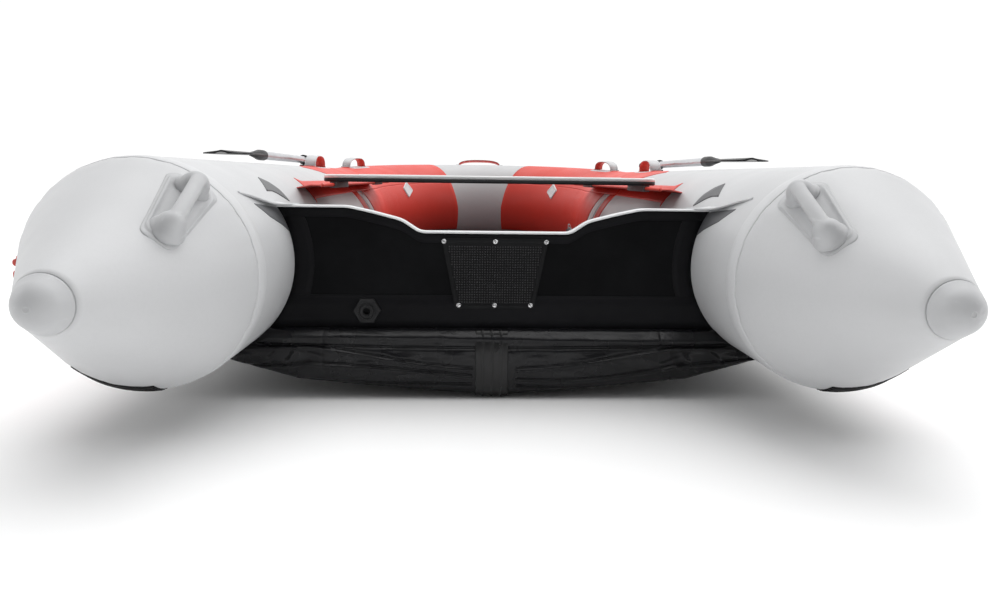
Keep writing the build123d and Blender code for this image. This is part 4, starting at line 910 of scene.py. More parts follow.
# ---- Tubes, cones and their seams ----
def pucker(s, degrees, at, reach=0.05, depth=0.0006):
    """Small puckers in the cloth on both sides of a seam."""
    turn = np.radians(degrees)
    waves = np.sin(23 * turn + 1.3) + 0.7 * np.sin(41 * turn + 0.4) + 0.5 * np.sin(67 * turn + 2.1)
    return depth * waves * np.exp(-np.abs(s - at) / reach)


def tube_skin(name, side, places, finish, both=False, around=144):
    """Skin of a tube between distances, closed round and at its ends."""
    degrees = np.linspace(0, 360, around + 1)[None, :-1]
    if both:  # round the bow, from starboard to port
        half = np.asarray(places)
        back = half[::-1][1:]
        points = np.concatenate([
            on_tube(sign, part[:, None], degrees, pucker(part[:, None], degrees, STRAIGHT))
            for sign, part in ((1, half), (-1, back))
        ])
        along = np.concatenate([half, 2 * BOW_S - back])
        side = 1
    else:
        along = np.asarray(places)
        lift = pucker(along[:, None], degrees, 0.0)
        lift = lift + pucker(along[:, None], degrees, STRAIGHT)
        lift = lift - 0.0012 * np.exp(-((along[:, None] / 0.0022) ** 2))
        points = on_tube(side, along[:, None], degrees, lift)
    rows = len(along)
    flip = side > 0
    faces = grid_faces(rows, around, close_columns=True, flip=flip)
    ring = np.arange(around)[::-1] if flip else np.arange(around)
    faces += [tuple(ring), tuple((rows - 1) * around + ring[::-1])]
    obj = piece(name, points.reshape(-1, 3), faces, finish)
    layer = obj.data.uv_layers.new(name="cloth")
    step = 2 * pi * TUBE_R / around
    uv = []
    for i in range(rows - 1):
        for j in range(around):
            a, b, c, d = (
                (along[i], j * step), (along[i], (j + 1) * step),
                (along[i + 1], (j + 1) * step), (along[i + 1], j * step),
            )
            uv += [a, d, c, b] if flip else [a, b, c, d]
    uv += [(0.0, 0.0)] * (2 * around)
    layer.data.foreach_set("uv", np.asarray(uv, float).ravel())
    bm = bmesh.new()
    bm.from_mesh(obj.data)
    bmesh.ops.recalc_face_normals(bm, faces=bm.faces)
    bm.to_mesh(obj.data)
    bm.free()
    obj.data.polygons[-1].use_smooth = False
    obj.data.polygons[-2].use_smooth = False
    return obj


def seam_ring(name, side, start, width):
    """Tape round a seam, its edges thin."""
    along = start + np.array(
        [-0.0005, 0, 0.0006, width / 3, 2 * width / 3, width - 0.0006, width, width + 0.0005]
    )
    lift = np.array([-0.0015, 0.0002, 0.0005, 0.0005, 0.0005, 0.0005, 0.0002, -0.0015])
    degrees = np.linspace(0, 360, 145)[:-1]
    points = on_tube(
        side, along[:, None], degrees[None], lift[:, None] + pucker(
            along[:, None], degrees[None], start, depth=0.0003
        )
    )
    obj = sheet_grid(name, points, "light_lap", None, flip=side > 0, close_columns=True)
    face = obj.data.polygons[3 * 144]
    if face.normal.dot(Vector(tube_normal(side, along[3], degrees[0]))) < 0:
        obj.data.flip_normals()
    return obj


def build_tubes(shape):
    """Skins of the cones, the side tubes and the bow tube, and the tapes over their seams."""
    near = np.array([-0.012, -0.006, -0.003, -0.0015, 0.0])
    cone_places = np.concatenate([np.linspace(-CONE_LENGTH, -0.02, 34), near])
    side_places = np.concatenate([-near[::-1], np.linspace(0.03, STRAIGHT, 96)])
    bow_places = np.linspace(STRAIGHT, BOW_S, 72)
    for side, sign in SIDES.items():
        settle(
            tube_skin(f"cone_skin_{side}", sign, cone_places, "light_fabric"),
            "hull",
            "light_fabric",
            f"stern_cone_{side}",
        )
        settle(
            tube_skin(f"tube_skin_{side}", sign, side_places, "light_fabric"),
            "hull",
            "light_fabric",
            f"tube_{side}",
        )
    settle(
        tube_skin("tube_skin_bow", 1, bow_places, "light_fabric", both=True),
        "hull",
        "light_fabric",
        "tube_bow",
    )
    rings = []
    for side, sign in SIDES.items():
        rings.append(seam_ring(f"ring_a_{side}", sign, 0.001, shape.tape_width - 0.001))
        rings.append(
            seam_ring(f"ring_b_{side}", sign, STRAIGHT - 0.014 - shape.tape_width, shape.tape_width)
        )
    settle(join(rings, "seam_rings"), "hull", "light_fabric", "seam_tapes")


# ---- Colour panels ----
def build_panels():
    """Red panels, pale stripes and dark fins laid on the tubes."""
    T = TRANSOM_S  # the panels are placed from the transom forward
    bow_edge = [(88, 0.30), (118, 0.27), (145, 0.24), (180, 0.20), (215, 0.19)]

    def band_edge(degrees):
        return BOW_S - np.interp(degrees, *zip(*bow_edge))

    def slant_edge(start):
        return [(T + start + 0.11 * (degrees - 144) / 22, degrees) for degrees in low]

    low = np.linspace(144, 215, 30)
    high = np.linspace(86, 144, 30)
    aft_high = np.interp(
        high, [86, 96, 104, 113, 125, 129, 144], [1.2, 0.98, 0.90, 0.98, 1.09, 1.14, 1.14]
    )
    for side, sign in SIDES.items():
        wing_top = [(T + 0.43, 125), (T + 0.47, 129), (T + 0.80, 129), (T + 1.14, 129)]
        wing_low = [(T + 0.43, 149), (T + 0.45, 145.5), (T + 0.80, 144.5), (T + 1.14, 144)]
        parts = [
            patch(f"wing_{side}", sign, wing_top, wing_low, "red_fabric"),
            patch(
                f"upper_{side}", sign, list(zip(T + aft_high, high)),
                list(zip(band_edge(high), high)), "red_fabric", across=60
            ),
            patch(
                f"lower_{side}", sign, slant_edge(1.38), list(zip(band_edge(low), low)),
                "red_fabric", across=60
            ),
            patch(
                f"stripe_{side}", sign, slant_edge(1.14), slant_edge(1.25), "red_fabric", across=6
            ),
        ]
        settle(join(parts, f"red_panels_{side}"), "hull", "red_fabric")
        white = patch(
            f"white_stripe_{side}", sign, slant_edge(1.27), slant_edge(1.36), "bright_stripe",
            across=6
        )
        settle(white, "hull", "light_fabric")
        fin = patch(
            f"fin_{side}",
            sign,
            [(T + 0.082, 124.3), (T + 0.115, 129), (T + 0.138, 136), (T + 0.142, 144.8)],
            [
                (T + 0.078, 124.8), (T + 0.019, 136.4), (T + 0.060, 136.6), (T + 0.085, 138.5),
                (T + 0.138, 145),
            ],
            "dark_grey_and_painted_shadow",
            across=6,
            along=40,
        )
        settle(fin, "hull", "light_fabric")


# ---- End caps and carrying handles ----
def cap_mark(radius):
    """Height of the small moulded ring and dimple at the cap's point."""
    return 0.0007 * np.exp(
        -(((radius - 0.0045) / 0.0009) ** 2)
    ) - 0.0006 * np.exp(-((radius / 0.002) ** 2))


def build_end_caps():
    half_angle = atan2(TUBE_R - CAP_R, CONE_LENGTH)
    slope = (TUBE_R - CAP_R) / CONE_LENGTH
    neck_r = CAP_R - CAP_NECK * slope
    ball = neck_r / cos(half_angle)
    centre = CAP_NECK - ball * sin(half_angle)
    profile = [
        (-0.006, 0.0), (-0.006, 0.036), (-0.001, 0.0415), (0.0012, CAP_R - 0.0032),
        (0.0016, CAP_R - 0.0014), (0.0028, CAP_R - 0.0008),
    ]
    profile += [(x, CAP_R - x * slope) for x in np.linspace(0.005, CAP_NECK, 6)]
    for turn in np.linspace(half_angle, pi / 2, 30)[1:]:
        radius = ball * cos(turn)
        profile.append((centre + ball * sin(turn) + cap_mark(radius), radius))
    fine = [p for p in profile if p[1] > 0.0075]
    for radius in np.linspace(0.0075, 0.0, 16):
        fine.append((centre + sqrt(ball**2 - radius**2) + cap_mark(radius), radius))
    for side, sign in SIDES.items():
        origin = (sign * (TUBE_X - CONE_TIP_INSET), CAP_SEAM_Y, AXIS_Z + CONE_TIP_LIFT)
        cap = revolve(f"end_cap_{side}", origin, (0, -1, 0), fine, "light_moulding", count=96)
        settle(cap, "hull", "light_moulding", f"cone_cap_{side}")


def local_frame(side, s, degrees):
    """Origin, forward, sideways and outward directions on a tube's surface."""
    origin = on_tube(side, s, degrees)
    ahead = on_tube(side, s + 0.01, degrees) - on_tube(side, s - 0.01, degrees)
    ahead /= np.linalg.norm(ahead)
    out = tube_normal(side, s, degrees)
    out = out - ahead * out.dot(ahead)
    out /= np.linalg.norm(out)
    return origin, ahead, np.cross(out, ahead), out


def ellipsoid(name, centre, axes, radii, finish, rows=20, count=28):
    turn = np.linspace(0, pi, rows)
    round_ = np.linspace(0, 2 * pi, count, endpoint=False)
    x = np.cos(turn)[:, None] * np.ones(count)
    y = np.sin(turn)[:, None] * np.cos(round_)
    z = np.sin(turn)[:, None] * np.sin(round_)
    points = centre + sum(
        v[..., None] * r * np.asarray(a) for v, r, a in zip((x, y, z), radii, axes)
    )
    faces = grid_faces(rows, count, close_columns=True)
    return piece(name, points.reshape(-1, 3), faces, finish, recalc=True)


def build_carrying_handles():
    s, degrees = -CARRYING_HANDLE["share"] * CONE_LENGTH, CARRYING_HANDLE["angle"]
    twist = CARRYING_HANDLE["twist"]
    pads = []
    profile = [
        (1.0, -0.0010), (1.0, 0.0014), (0.985, 0.0024), (0.93, 0.0026), (0.905, 0.0028),
        (0.895, 0.0050),
        (0.875, 0.0060), (0.80, 0.0060), (0.77, 0.0046), (0.60, 0.0042), (0.40, 0.0042),
        (0.15, 0.0042),
    ]
    for side, sign in SIDES.items():
        pads.append(
            pad_on_tube(
                f"pad_{side}", sign, s, degrees, 0.190, 0.080, 0.020, profile, "light_moulding",
                twist=twist
            )
        )
        origin, ahead, across, out = local_frame(sign, s, degrees)
        ahead, across = (
            ahead * cos(twist) - sign * across * sin(twist),
            across * cos(twist) + sign * ahead * sin(twist),
        )
        axes = (ahead, across, out)

        def at(x, h):
            return origin + ahead * x + out * h

        parts = [
            ellipsoid("bulb", at(-0.066, 0.006), axes, (0.027, 0.0265, 0.036), "light_moulding"),
            ellipsoid("foot", at(-0.066, 0.003), axes, (0.031, 0.031, 0.016), "light_moulding"),
            ellipsoid("hood", at(0.068, 0.006), axes, (0.024, 0.027, 0.036), "light_moulding"),
            ellipsoid("hood_foot", at(0.070, 0.003), axes, (0.027, 0.033, 0.015), "light_moulding"),
        ]
        line = [
            at(x, 0.0330 + 0.003 * (1 - (x / 0.066) ** 2)) for x in np.linspace(-0.066, 0.068, 24)
        ]
        turn = np.linspace(0, 2 * pi, 20, endpoint=False)
        section = np.stack([0.0135 * np.cos(turn), 0.0085 * np.sin(turn)], -1)
        parts.append(sweep("bar", line, [out] * len(line), section, "light_moulding"))
        grip = melt(join(parts, f"grip_{side}"), 0.0016, rounds=10)
        dress(grip, "light_moulding")
        settle(grip, "hull", "light_moulding", f"cone_handle_{side}")
    settle(join(pads, "handle_plates"), "hull", "light_moulding", "cone_handle_pads")


# ---- Transom ----
def top_height(x):
    """Height of the transom's upper edge above the tube axis, its corners eased."""
    places = np.linspace(-0.6, 0.6, 1201)
    keys = [(0, 0.068)] + [(a, b) for a, b in reversed(CUTOUT_LINE)] + [(0.6, 0.124)]
    raw = np.interp(np.abs(places), *zip(*keys))
    width = np.exp(-((np.arange(-40, 41) / 11.0) ** 2))
    padded = np.pad(raw, 40, mode="edge")
    soft = np.convolve(padded, width / width.sum(), mode="valid")
    return np.interp(x, places, soft)


def side_reach(z, radius=None):
    """How far out from the middle the transom may go at a height."""
    radius = TUBE_R if radius is None else radius
    return TUBE_X - np.sqrt(np.maximum(radius**2 - np.asarray(z) ** 2, 0))


def flat_band(name, lower, upper, y, thick, finish):
    """Thin band on the transom between two lines of (x, height)."""
    lower, upper = np.asarray(lower, float), np.asarray(upper, float)
    t = np.linspace(0, 1, 4)[:, None, None]
    flat = lower[None] * (1 - t) + upper[None] * t

    def at(depth, grid):
        return np.stack([grid[..., 0], np.full(grid.shape[:2], depth), grid[..., 1] + AXIS_Z], -1)

    return slab(name, at(y, flat), at(y + thick, flat), finish)


def build_transom():
    """Laps, upper bead and gussets of the transom."""
    x = np.linspace(-0.49, 0.49, 161)
    top = top_height(x)
    parts = []
    for aft in (True, False):

        def depth(thick):
            return TRANSOM_Y - thick if aft else INNER_Y

        parts.append(
            flat_band(
                "edge", np.stack([x, top - 0.024], -1), np.stack([x, top - 0.001], -1),
                depth(EDGE_LAP), EDGE_LAP, "black_lap",
            )
        )
        low_x = np.linspace(-1, 1, 81)
        parts.append(
            flat_band(
                "low",
                np.stack([low_x * (side_reach(-0.154) - 0.001), np.full(81, -0.156)], -1),
                np.stack([low_x * (side_reach(-0.077) - 0.001), np.full(81, -0.077)], -1),
                depth(FOOT_LAP),
                FOOT_LAP,
                "black_lap",
            )
        )
        for sign in SIDES.values():
            inner, outer = TUBE_R + 0.0005, TUBE_R + 0.044
            first = np.radians(np.linspace(-42, np.degrees(np.arcsin(0.112 / inner)), 40))
            second = np.radians(np.linspace(-35, np.degrees(np.arcsin(0.112 / outer)), 40))

            def ring(r, a):
                return np.stack([sign * (TUBE_X - r * np.cos(a)), r * np.sin(a)], -1)

            lap = ring(inner, first), ring(outer, second)
            parts.append(flat_band("lap", *lap, depth(SIDE_LAP), SIDE_LAP, "black_lap"))
    settle(join(parts, "transom_laps"), "hull", "black_fabric")

    # Light bead over the upper edge
    end = 0.494
    line = np.linspace(-end, end, 181)
    middle = (TRANSOM_Y + INNER_Y) / 2
    path = np.stack([line, np.full_like(line, middle), AXIS_Z + top_height(line) + 0.0005], -1)
    slope = np.gradient(path[:, 2], path[:, 0])
    normals = np.stack([-slope, np.zeros_like(slope), np.ones_like(slope)], -1)
    normals /= np.linalg.norm(normals, axis=1, keepdims=True)
    half = (INNER_Y - TRANSOM_Y) / 2 + 0.003
    section = [
        (-half + 0.0025, -0.0032), (-half, -0.0028), (-half - 0.0003, -0.0005),
        (-half + 0.001, 0.0012), (-half + 0.004, 0.002),
        (0, 0.0023), (half - 0.004, 0.002), (half - 0.001, 0.0012), (half + 0.0003, -0.0005),
        (half, -0.0028), (half - 0.0025, -0.0032),
        (half - 0.0025, -0.0006), (-half + 0.0025, -0.0006),
    ]
    bead = sweep("transom_bead", path, normals, section, "bright_stripe")
    settle(bead, "hull", "light_moulding", "transom_cap_strip")

    # Gussets from the upper corners along the tubes, with a painted shadow on the tube under each
    webs = []
    for side, sign in SIDES.items():
        t = np.linspace(0, 1, 40)
        y = TRANSOM_Y + 0.024 - 0.212 * t
        z = 0.1255 + 0.0325 * t**1.7
        edge_x = 0.448 + (side_reach(0.158) - 0.449) * t**0.9
        tube_x = side_reach(z) + 0.004
        u = np.linspace(0, 1, 10)
        xs = edge_x[:, None] * (1 - u) + tube_x[:, None] * u
        lift = 0.006 * u**2 * (1 - t[:, None]) + 0.0015 * np.sin(9 * t[:, None] + 1) * (1 - u)
        zs = z[:, None] + lift
        ys = np.broadcast_to(y[:, None], xs.shape)
        low = np.stack([sign * xs, ys, zs + AXIS_Z - 0.0016], -1)
        high = np.stack([sign * xs, ys, zs + AXIS_Z + 0.0016], -1)
        webs.append(slab("web", low, high, "light_lap"))
        rim = np.stack([sign * edge_x, y, AXIS_Z + z + lift[:, 0]], -1)
        webs.append(tube_line("rim", rim, 0.0026, "light_lap", 10))
        # Dark grey patch on the tube under the gusset: painted shadow of the gusset, not a lap of
        # cloth
        shade = patch(
            f"gusset_lap_{side}", sign,
            [(TRANSOM_S - 0.150, 143.5), (TRANSOM_S - 0.07, 146.0), (TRANSOM_S, 148.0)],
            [
                (TRANSOM_S - 0.148, 144.5), (TRANSOM_S - 0.10, 152.5), (TRANSOM_S - 0.03, 159.0),
                (TRANSOM_S, 163.0),
            ],
            "dark_grey_and_painted_shadow", height=0.0007,
        )
        settle(shade, "hull", "light_fabric")
    settle(join(webs, "gusset_webs"), "hull", "light_fabric", "transom_gussets")


# ---- Motor plates and drain ----
def plate_width(z):
    """Half width of the motor plate at a height."""
    share = (z - (PLATE["centre"] - PLATE["height"] / 2)) / PLATE["height"]
    return PLATE["bottom"] + (PLATE["top"] - PLATE["bottom"]) * share


def screw_places():
    """Three screws along the plate's top and three along its bottom, as (x, height)."""
    places = []
    for end, spread in ((1, 0.117), (-1, 0.083)):
        places += [
            (x, PLATE["centre"] + end * (PLATE["height"] / 2 - 0.008)) for x in (-spread, 0, spread)
        ]
    return places


def build_motor_plates(shape):
    face = TRANSOM_Y - PLATE["thick"]
    pitch = shape.nub_pitch
    points = []
    half = PLATE["height"] / 2
    z, high = PLATE["centre"] - half + 0.016, PLATE["centre"] + half - 0.016
    while z <= high:
        reach = plate_width(z) - 0.012
        count = int(reach // pitch)
        for i in range(-count, count + 1):
            points.append((i * pitch, face - 0.0006, AXIS_Z + z))
        z += pitch
    nubs = grow(
        "motor_plate_nubs", nub_tree("plate_nubs", "nub_plastic"), points,
        [(pi / 2, 0, 0)] * len(points),
        Base=0.0019, Top=0.0011, Height=0.0016,
    )
    dress(nubs, "nub_plastic", smooth=False)
    settle(nubs, "hull", "black_plastic")
    # Plain raised border round the nubs
    ring = []
    for inset, lift in (
        (0.0008, -0.0005), (0.0014, 0.0006), (0.0022, 0.0009), (0.0098, 0.0009), (0.0108, 0.0004),
        (0.0112, -0.0005),
    ):
        corners = []
        for sx, sz in ((1, 1), (-1, 1), (-1, -1), (1, -1)):
            z = PLATE["centre"] + sz * (half - inset)
            corners.append((sx * (plate_width(z) - inset * 1.03), z))
        outline = []
        for i in range(4):
            p, q, r = (np.array(corners[(i + k) % 4]) for k in (-1, 0, 1))
            a = q + (p - q) / np.linalg.norm(p - q) * 0.006
            b = q + (r - q) / np.linalg.norm(r - q) * 0.006
            for t in np.linspace(0, 1, 6):
                outline.append((1 - t) ** 2 * a + 2 * t * (1 - t) * q + t**2 * b)
        outline = np.array(outline)
        depth = np.full(len(outline), face - lift)
        ring.append(np.stack([outline[:, 0], depth, AXIS_Z + outline[:, 1]], -1))
    border = sheet_grid("motor_plate_border", np.array(ring), "plate_plastic", close_columns=True)
    if border.data.polygons[2 * 24 + 2].normal.y > 0:
        border.data.flip_normals()
    settle(border, "hull", "black_plastic")

    head = revolve(
        "screw_head", (0, 0, 0), (0, 0, 1),
        [
            (0, 0.0), (0, 0.0054), (0.0009, 0.0054), (0.0018, 0.0044), (0.0023, 0.0028),
            (0.0024, 0.0),
        ], "stainless", count=20,
    )
    cutter = piece(
        "slot",
        [
            (sx * 0.0062, sy * 0.0007, z)
            for z in (0.0011, 0.004)
            for sx, sy in ((-1, -1), (1, -1), (1, 1), (-1, 1))
        ],
        [(3, 2, 1, 0), (4, 5, 6, 7), (0, 1, 5, 4), (1, 2, 6, 5), (2, 3, 7, 6), (3, 0, 4, 7)],
        "stainless", smooth=False,
    )
    cut = head.modifiers.new("slot", "BOOLEAN")
    cut.operation = "DIFFERENCE"
    cut.object = cutter
    cut.solver = "EXACT"
    bake(head)
    bpy.data.objects.remove(cutter)
    places = [(x, face - 0.0001, AXIS_Z + z) for x, z in screw_places()]
    turns = [(pi / 2, 0.5 + 0.7 * i, 0) for i in range(len(places))]
    screws = grow(
        "plate_screws",
        copies_tree("screw_copies", "stainless"),
        places,
        turns,
        Shape=head,
        Size=1.0,
    )
    dress(screws, "stainless", smooth=False)
    settle(screws, "hull", "stainless", "motor_plate_screws")


def build_drain():
    x, z = DRAIN
    collar = revolve(
        "drain_collar", (x, TRANSOM_Y - 0.0089, AXIS_Z + z), (0, -1, 0),
        [
            (-0.002, 0.0085), (0.0016, 0.0085), (0.0028, 0.0092), (0.0032, 0.0105),
            (0.0032, 0.0150), (0.0026, 0.0166), (-0.002, 0.0168),
        ],
        "black_plastic", count=40, closed=True,
    )
    settle(collar, "hull", "black_plastic")
    ring_r, grip_count = 0.0195, 24
    points = []
    for i in range(grip_count):
        turn = 2 * pi * i / grip_count
        points.append((x + ring_r * cos(turn), TRANSOM_Y - 0.0092, AXIS_Z + z + ring_r * sin(turn)))
    turns = [(pi / 2, 0, 0)] * grip_count
    grips = grow(
        "drain_grips",
        nub_tree("drain_nubs", "black_plastic"),
        points,
        turns,
        Base=0.0012,
        Top=0.0008,
        Height=0.0012,
    )
    dress(grips, "black_plastic", smooth=False)
    settle(grips, "hull", "black_plastic")


# ---- Hull ----
def hull_rows():
    """Rows of the hull as (half width, y, height of the joins, share of the drop)."""
    straight = np.linspace(TRANSOM_Y, SHOULDER_Y, 60)[:-1]
    rows = [(TUBE_X - JOIN_R, y, AXIS_Z - JOIN_DROP, 1.0) for y in straight]
    for angle in np.linspace(0, 86, 40):
        turn = radians(angle)
        if turn <= BOW_SIDE_ANGLE:
            reach = BOW_SIDE_RADIUS - JOIN_R
            x, v = TUBE_X - BOW_SIDE_RADIUS + reach * cos(turn), reach * sin(turn)
        else:
            reach = BOW_END_RADIUS - JOIN_R
            x, v = reach * cos(turn), BOW_END_CENTRE + reach * sin(turn)
        share = max(1 - (angle / 90) ** 2.2, 0.06)
        rows.append(
            (x, SHOULDER_Y + v * cos(BOW_TILT), AXIS_Z + v * sin(BOW_TILT) - JOIN_DROP, share)
        )
    return rows


def drop_at(t):
    """Drop of the hull at a share of its half width, rounded at the keel and the chines."""
    t = np.abs(t)
    inner = HULL_DROP - (HULL_DROP - CHINE_DROP) * (t / CHINE_SHARE) ** 1.15
    outer = CHINE_DROP * (1 - np.clip((t - CHINE_SHARE) / (1 - CHINE_SHARE), 0, 1) ** 0.95)
    return np.where(t < CHINE_SHARE, inner, outer)


def build_hull(shape):
    """Hull bottom, its rolled end and the keel strake."""
    rows = hull_rows()
    t = np.linspace(-1, 1, 61)
    low = []
    for half, y, join_z, share in rows:
        folds = 0.0012 * np.sin(26 * t + 3 * y) * np.exp(-(((np.abs(t) - 0.9) / 0.12) ** 2))
        z = join_z - drop_at(t) * share - HULL_SKIN + folds
        low.append(np.stack([t * half, np.full_like(t, y), z], -1))
    low = np.array(low)
    skin = slab("hull_skin", low, low + np.array([0, 0, HULL_SKIN]), "black_fabric")
    settle(skin, "hull", "black_fabric", "hull_bottom")

    end = hull_end(shape)
    settle(end, "hull", "black_fabric", "hull_end_roll")

    # Keel strake: down over the rolled end, then forward under the keel
    path, normals = [], []
    for turn in np.linspace(radians(14), radians(168), 26):
        y, z = end_point(0.0, turn)
        y2, z2 = end_point(0.0, turn + 0.01)
        tangent = np.array([0, y2 - y, z2 - z]) / hypot(y2 - y, z2 - z)
        path.append((-0.006, y, z))
        normals.append(np.cross(tangent, (1, 0, 0)))
    for half, y, join_z, share in rows[1:-8]:
        path.append(
            (-0.006 * max(0, 1 - (y - TRANSOM_Y) / 0.4), y, join_z - HULL_DROP * share - HULL_SKIN)
        )
        normals.append((0, 0, -1))
    path, normals = np.array(path), np.array(normals)
    if normals[5][1] > 0:
        normals[:26] *= -1
    u = np.linspace(-0.038, 0.038, 39)
    ribs = sum(np.exp(-(((u - c) / 0.0022) ** 2)) for c in (-0.021, 0.0, 0.021))
    top = 0.0022 + 0.0028 * ribs
    top[[0, -1]] = 0.0002
    section = [(a, b) for a, b in zip(u, top)] + [(0.038, -0.003), (-0.038, -0.003)]
    strake = sweep("keel_ribs", path, normals, section, "keel_rubber")
    settle(strake, "hull", "black_rubber", "keel_strake")


def end_bounds(x):
    """Top and bottom of the rolled end at x, above the tube axis."""
    a = np.abs(x)
    circle = -np.sqrt(np.maximum(TUBE_R**2 - (TUBE_X - a) ** 2, 0)) + 0.002
    top = np.where(a < side_reach(LAP_TOP), LAP_TOP, np.minimum(circle, LAP_TOP))
    bottom = -JOIN_DROP - drop_at(a / (TUBE_X - JOIN_R)) - HULL_SKIN
    return top, bottom


def end_point(x, turn, relief=0.0):
    """Depth and height on the rolled end at x, its turn running from top to bottom."""
    top, bottom = end_bounds(x)
    share = np.clip((side_reach(-0.21) - np.abs(x)) / 0.10, 0.0, 1.0)
    depth = HULL_ROLL * (0.35 + 0.65 * share**0.5)
    y = TRANSOM_Y - (depth * np.sin(turn) ** 0.6 + relief)
    z = AXIS_Z + top + (bottom - top) * (1 - np.cos(turn)) / 2
    return y, z


def ridge(value, place, width):
    """Soft ridge of height 1 where value meets place."""
    return np.exp(-(((value - place) / width) ** 2))


# Creases near the corners of the rolled end: x, height, length, angle and strength
CREASES = [
    (-0.464, -0.222, 0.035, 1.05, 1.5), (-0.449, -0.244, 0.03, 0.6, -1.3),
    (-0.50, -0.21, 0.05, 0.8, 0.9),
    (-0.53, -0.235, 0.04, 0.3, -0.8), (-0.43, -0.20, 0.05, -0.4, 0.6),
    (0.45, -0.225, 0.05, -0.9, 1.0),
    (0.47, -0.245, 0.04, -0.4, -1.0), (0.52, -0.22, 0.05, -0.7, 0.9),
    (0.42, -0.21, 0.05, 0.4, -0.6),
    (-0.30, -0.23, 0.10, 0.15, 0.5), (0.31, -0.235, 0.11, -0.12, 0.5),
    (-0.18, -0.255, 0.09, 0.1, -0.4),
    (0.17, -0.25, 0.09, -0.15, -0.4), (0.24, -0.215, 0.07, 0.25, 0.35),
    (-0.24, -0.21, 0.07, -0.2, 0.35),
]


def hull_end(shape):
    """Rolled end of the hull with its folds, seams and creases."""
    half = TUBE_X - JOIN_R
    x = np.linspace(-half + 0.002, half - 0.002, 421)
    turn = np.linspace(0.0, pi, 91)
    xs, turns = np.meshgrid(x, turn)
    _, z = end_point(xs, turns)
    h = z - AXIS_Z
    amount = shape.hull_creases
    a = np.abs(xs)
    relief = 1.5 * amount * ridge(h, -0.172 - 0.004 * np.sin(5 * xs), 0.009)
    relief -= 1.3 * amount * ridge(h, -0.190 - 0.005 * np.cos(4 * xs), 0.0035)
    for base in (-0.2, -0.232, -0.262):
        curve = base - 0.03 * (
            1 - np.clip(a / 0.42, 0, 1) ** 2
        ) + 0.012 * np.sin(7 * xs + base * 40)
        relief -= 0.9 * amount * ridge(h, curve, 0.0025) * (a > 0.05)
        relief += 0.7 * amount * ridge(h, curve - 0.006, 0.004) * (a > 0.05)
    for place in (-0.391, 0.385):
        relief -= 0.6 * amount * ridge(
            xs, place + 0.012 * (h + 0.2), 0.003
        ) * (h < -0.15) * (h > -0.25)
    for cx, cz, length, angle, strength in CREASES:
        along = (xs - cx) * cos(angle) + (h - cz) * sin(angle)
        across = -(xs - cx) * sin(angle) + (h - cz) * cos(angle)
        relief += strength * amount * np.exp(-((along / length) ** 2)) * np.exp(
            -((across / 0.0055) ** 2)
        )
    fade = np.sin(turns) ** 0.5
    waves = np.sin(
        31 * xs + 17 * h * 9
    ) * np.sin(140 * h + 9 * xs) + 0.6 * np.sin(57 * xs - 210 * h)
    relief = (relief + 0.10 * amount * waves) * fade
    y, z = end_point(xs, turns, relief)
    outer = np.stack([xs, y, z], -1)
    inner = outer.copy()
    inner[..., 1] = TRANSOM_Y - 0.0002
    return slab("hull_end_folds", outer, inner, "black_fabric")


# ---- Strakes and wear strips ----
STRAKE_HALF = [
    (-0.037, -0.0038), (-0.037, 0.0015), (-0.0345, 0.0035), (-0.031, 0.0042), (-0.029, 0.0092),
    (-0.0255, 0.0113), (-0.0215, 0.0113), (-0.018, 0.0092), (-0.016, 0.0052), (-0.010, 0.0052),
    (-0.0078, 0.0098), (-0.004, 0.0118),
]
STRAKE_SECTION = STRAKE_HALF + [(-x, lift) for x, lift in reversed(STRAKE_HALF)]


def tread_rib(sign, place):
    """One slanted rib of a wear strip, starting at a distance along the tube."""
    along = place + np.linspace(0, 0.045, 14)
    degrees = np.linspace(WEAR_STRIP_EDGES[0] + 1, WEAR_STRIP_EDGES[1] - 1, 14)
    low, high = [], []
    for offset, lift in ((-0.003, 0.0012), (-0.0018, 0.0036), (0.0018, 0.0036), (0.003, 0.0012)):
        high.append(on_tube(sign, along + offset, degrees, lift))
        low.append(on_tube(sign, along + offset, degrees, 0.0005))
    return slab("rib", np.array(low), np.array(high), "black_rubber")


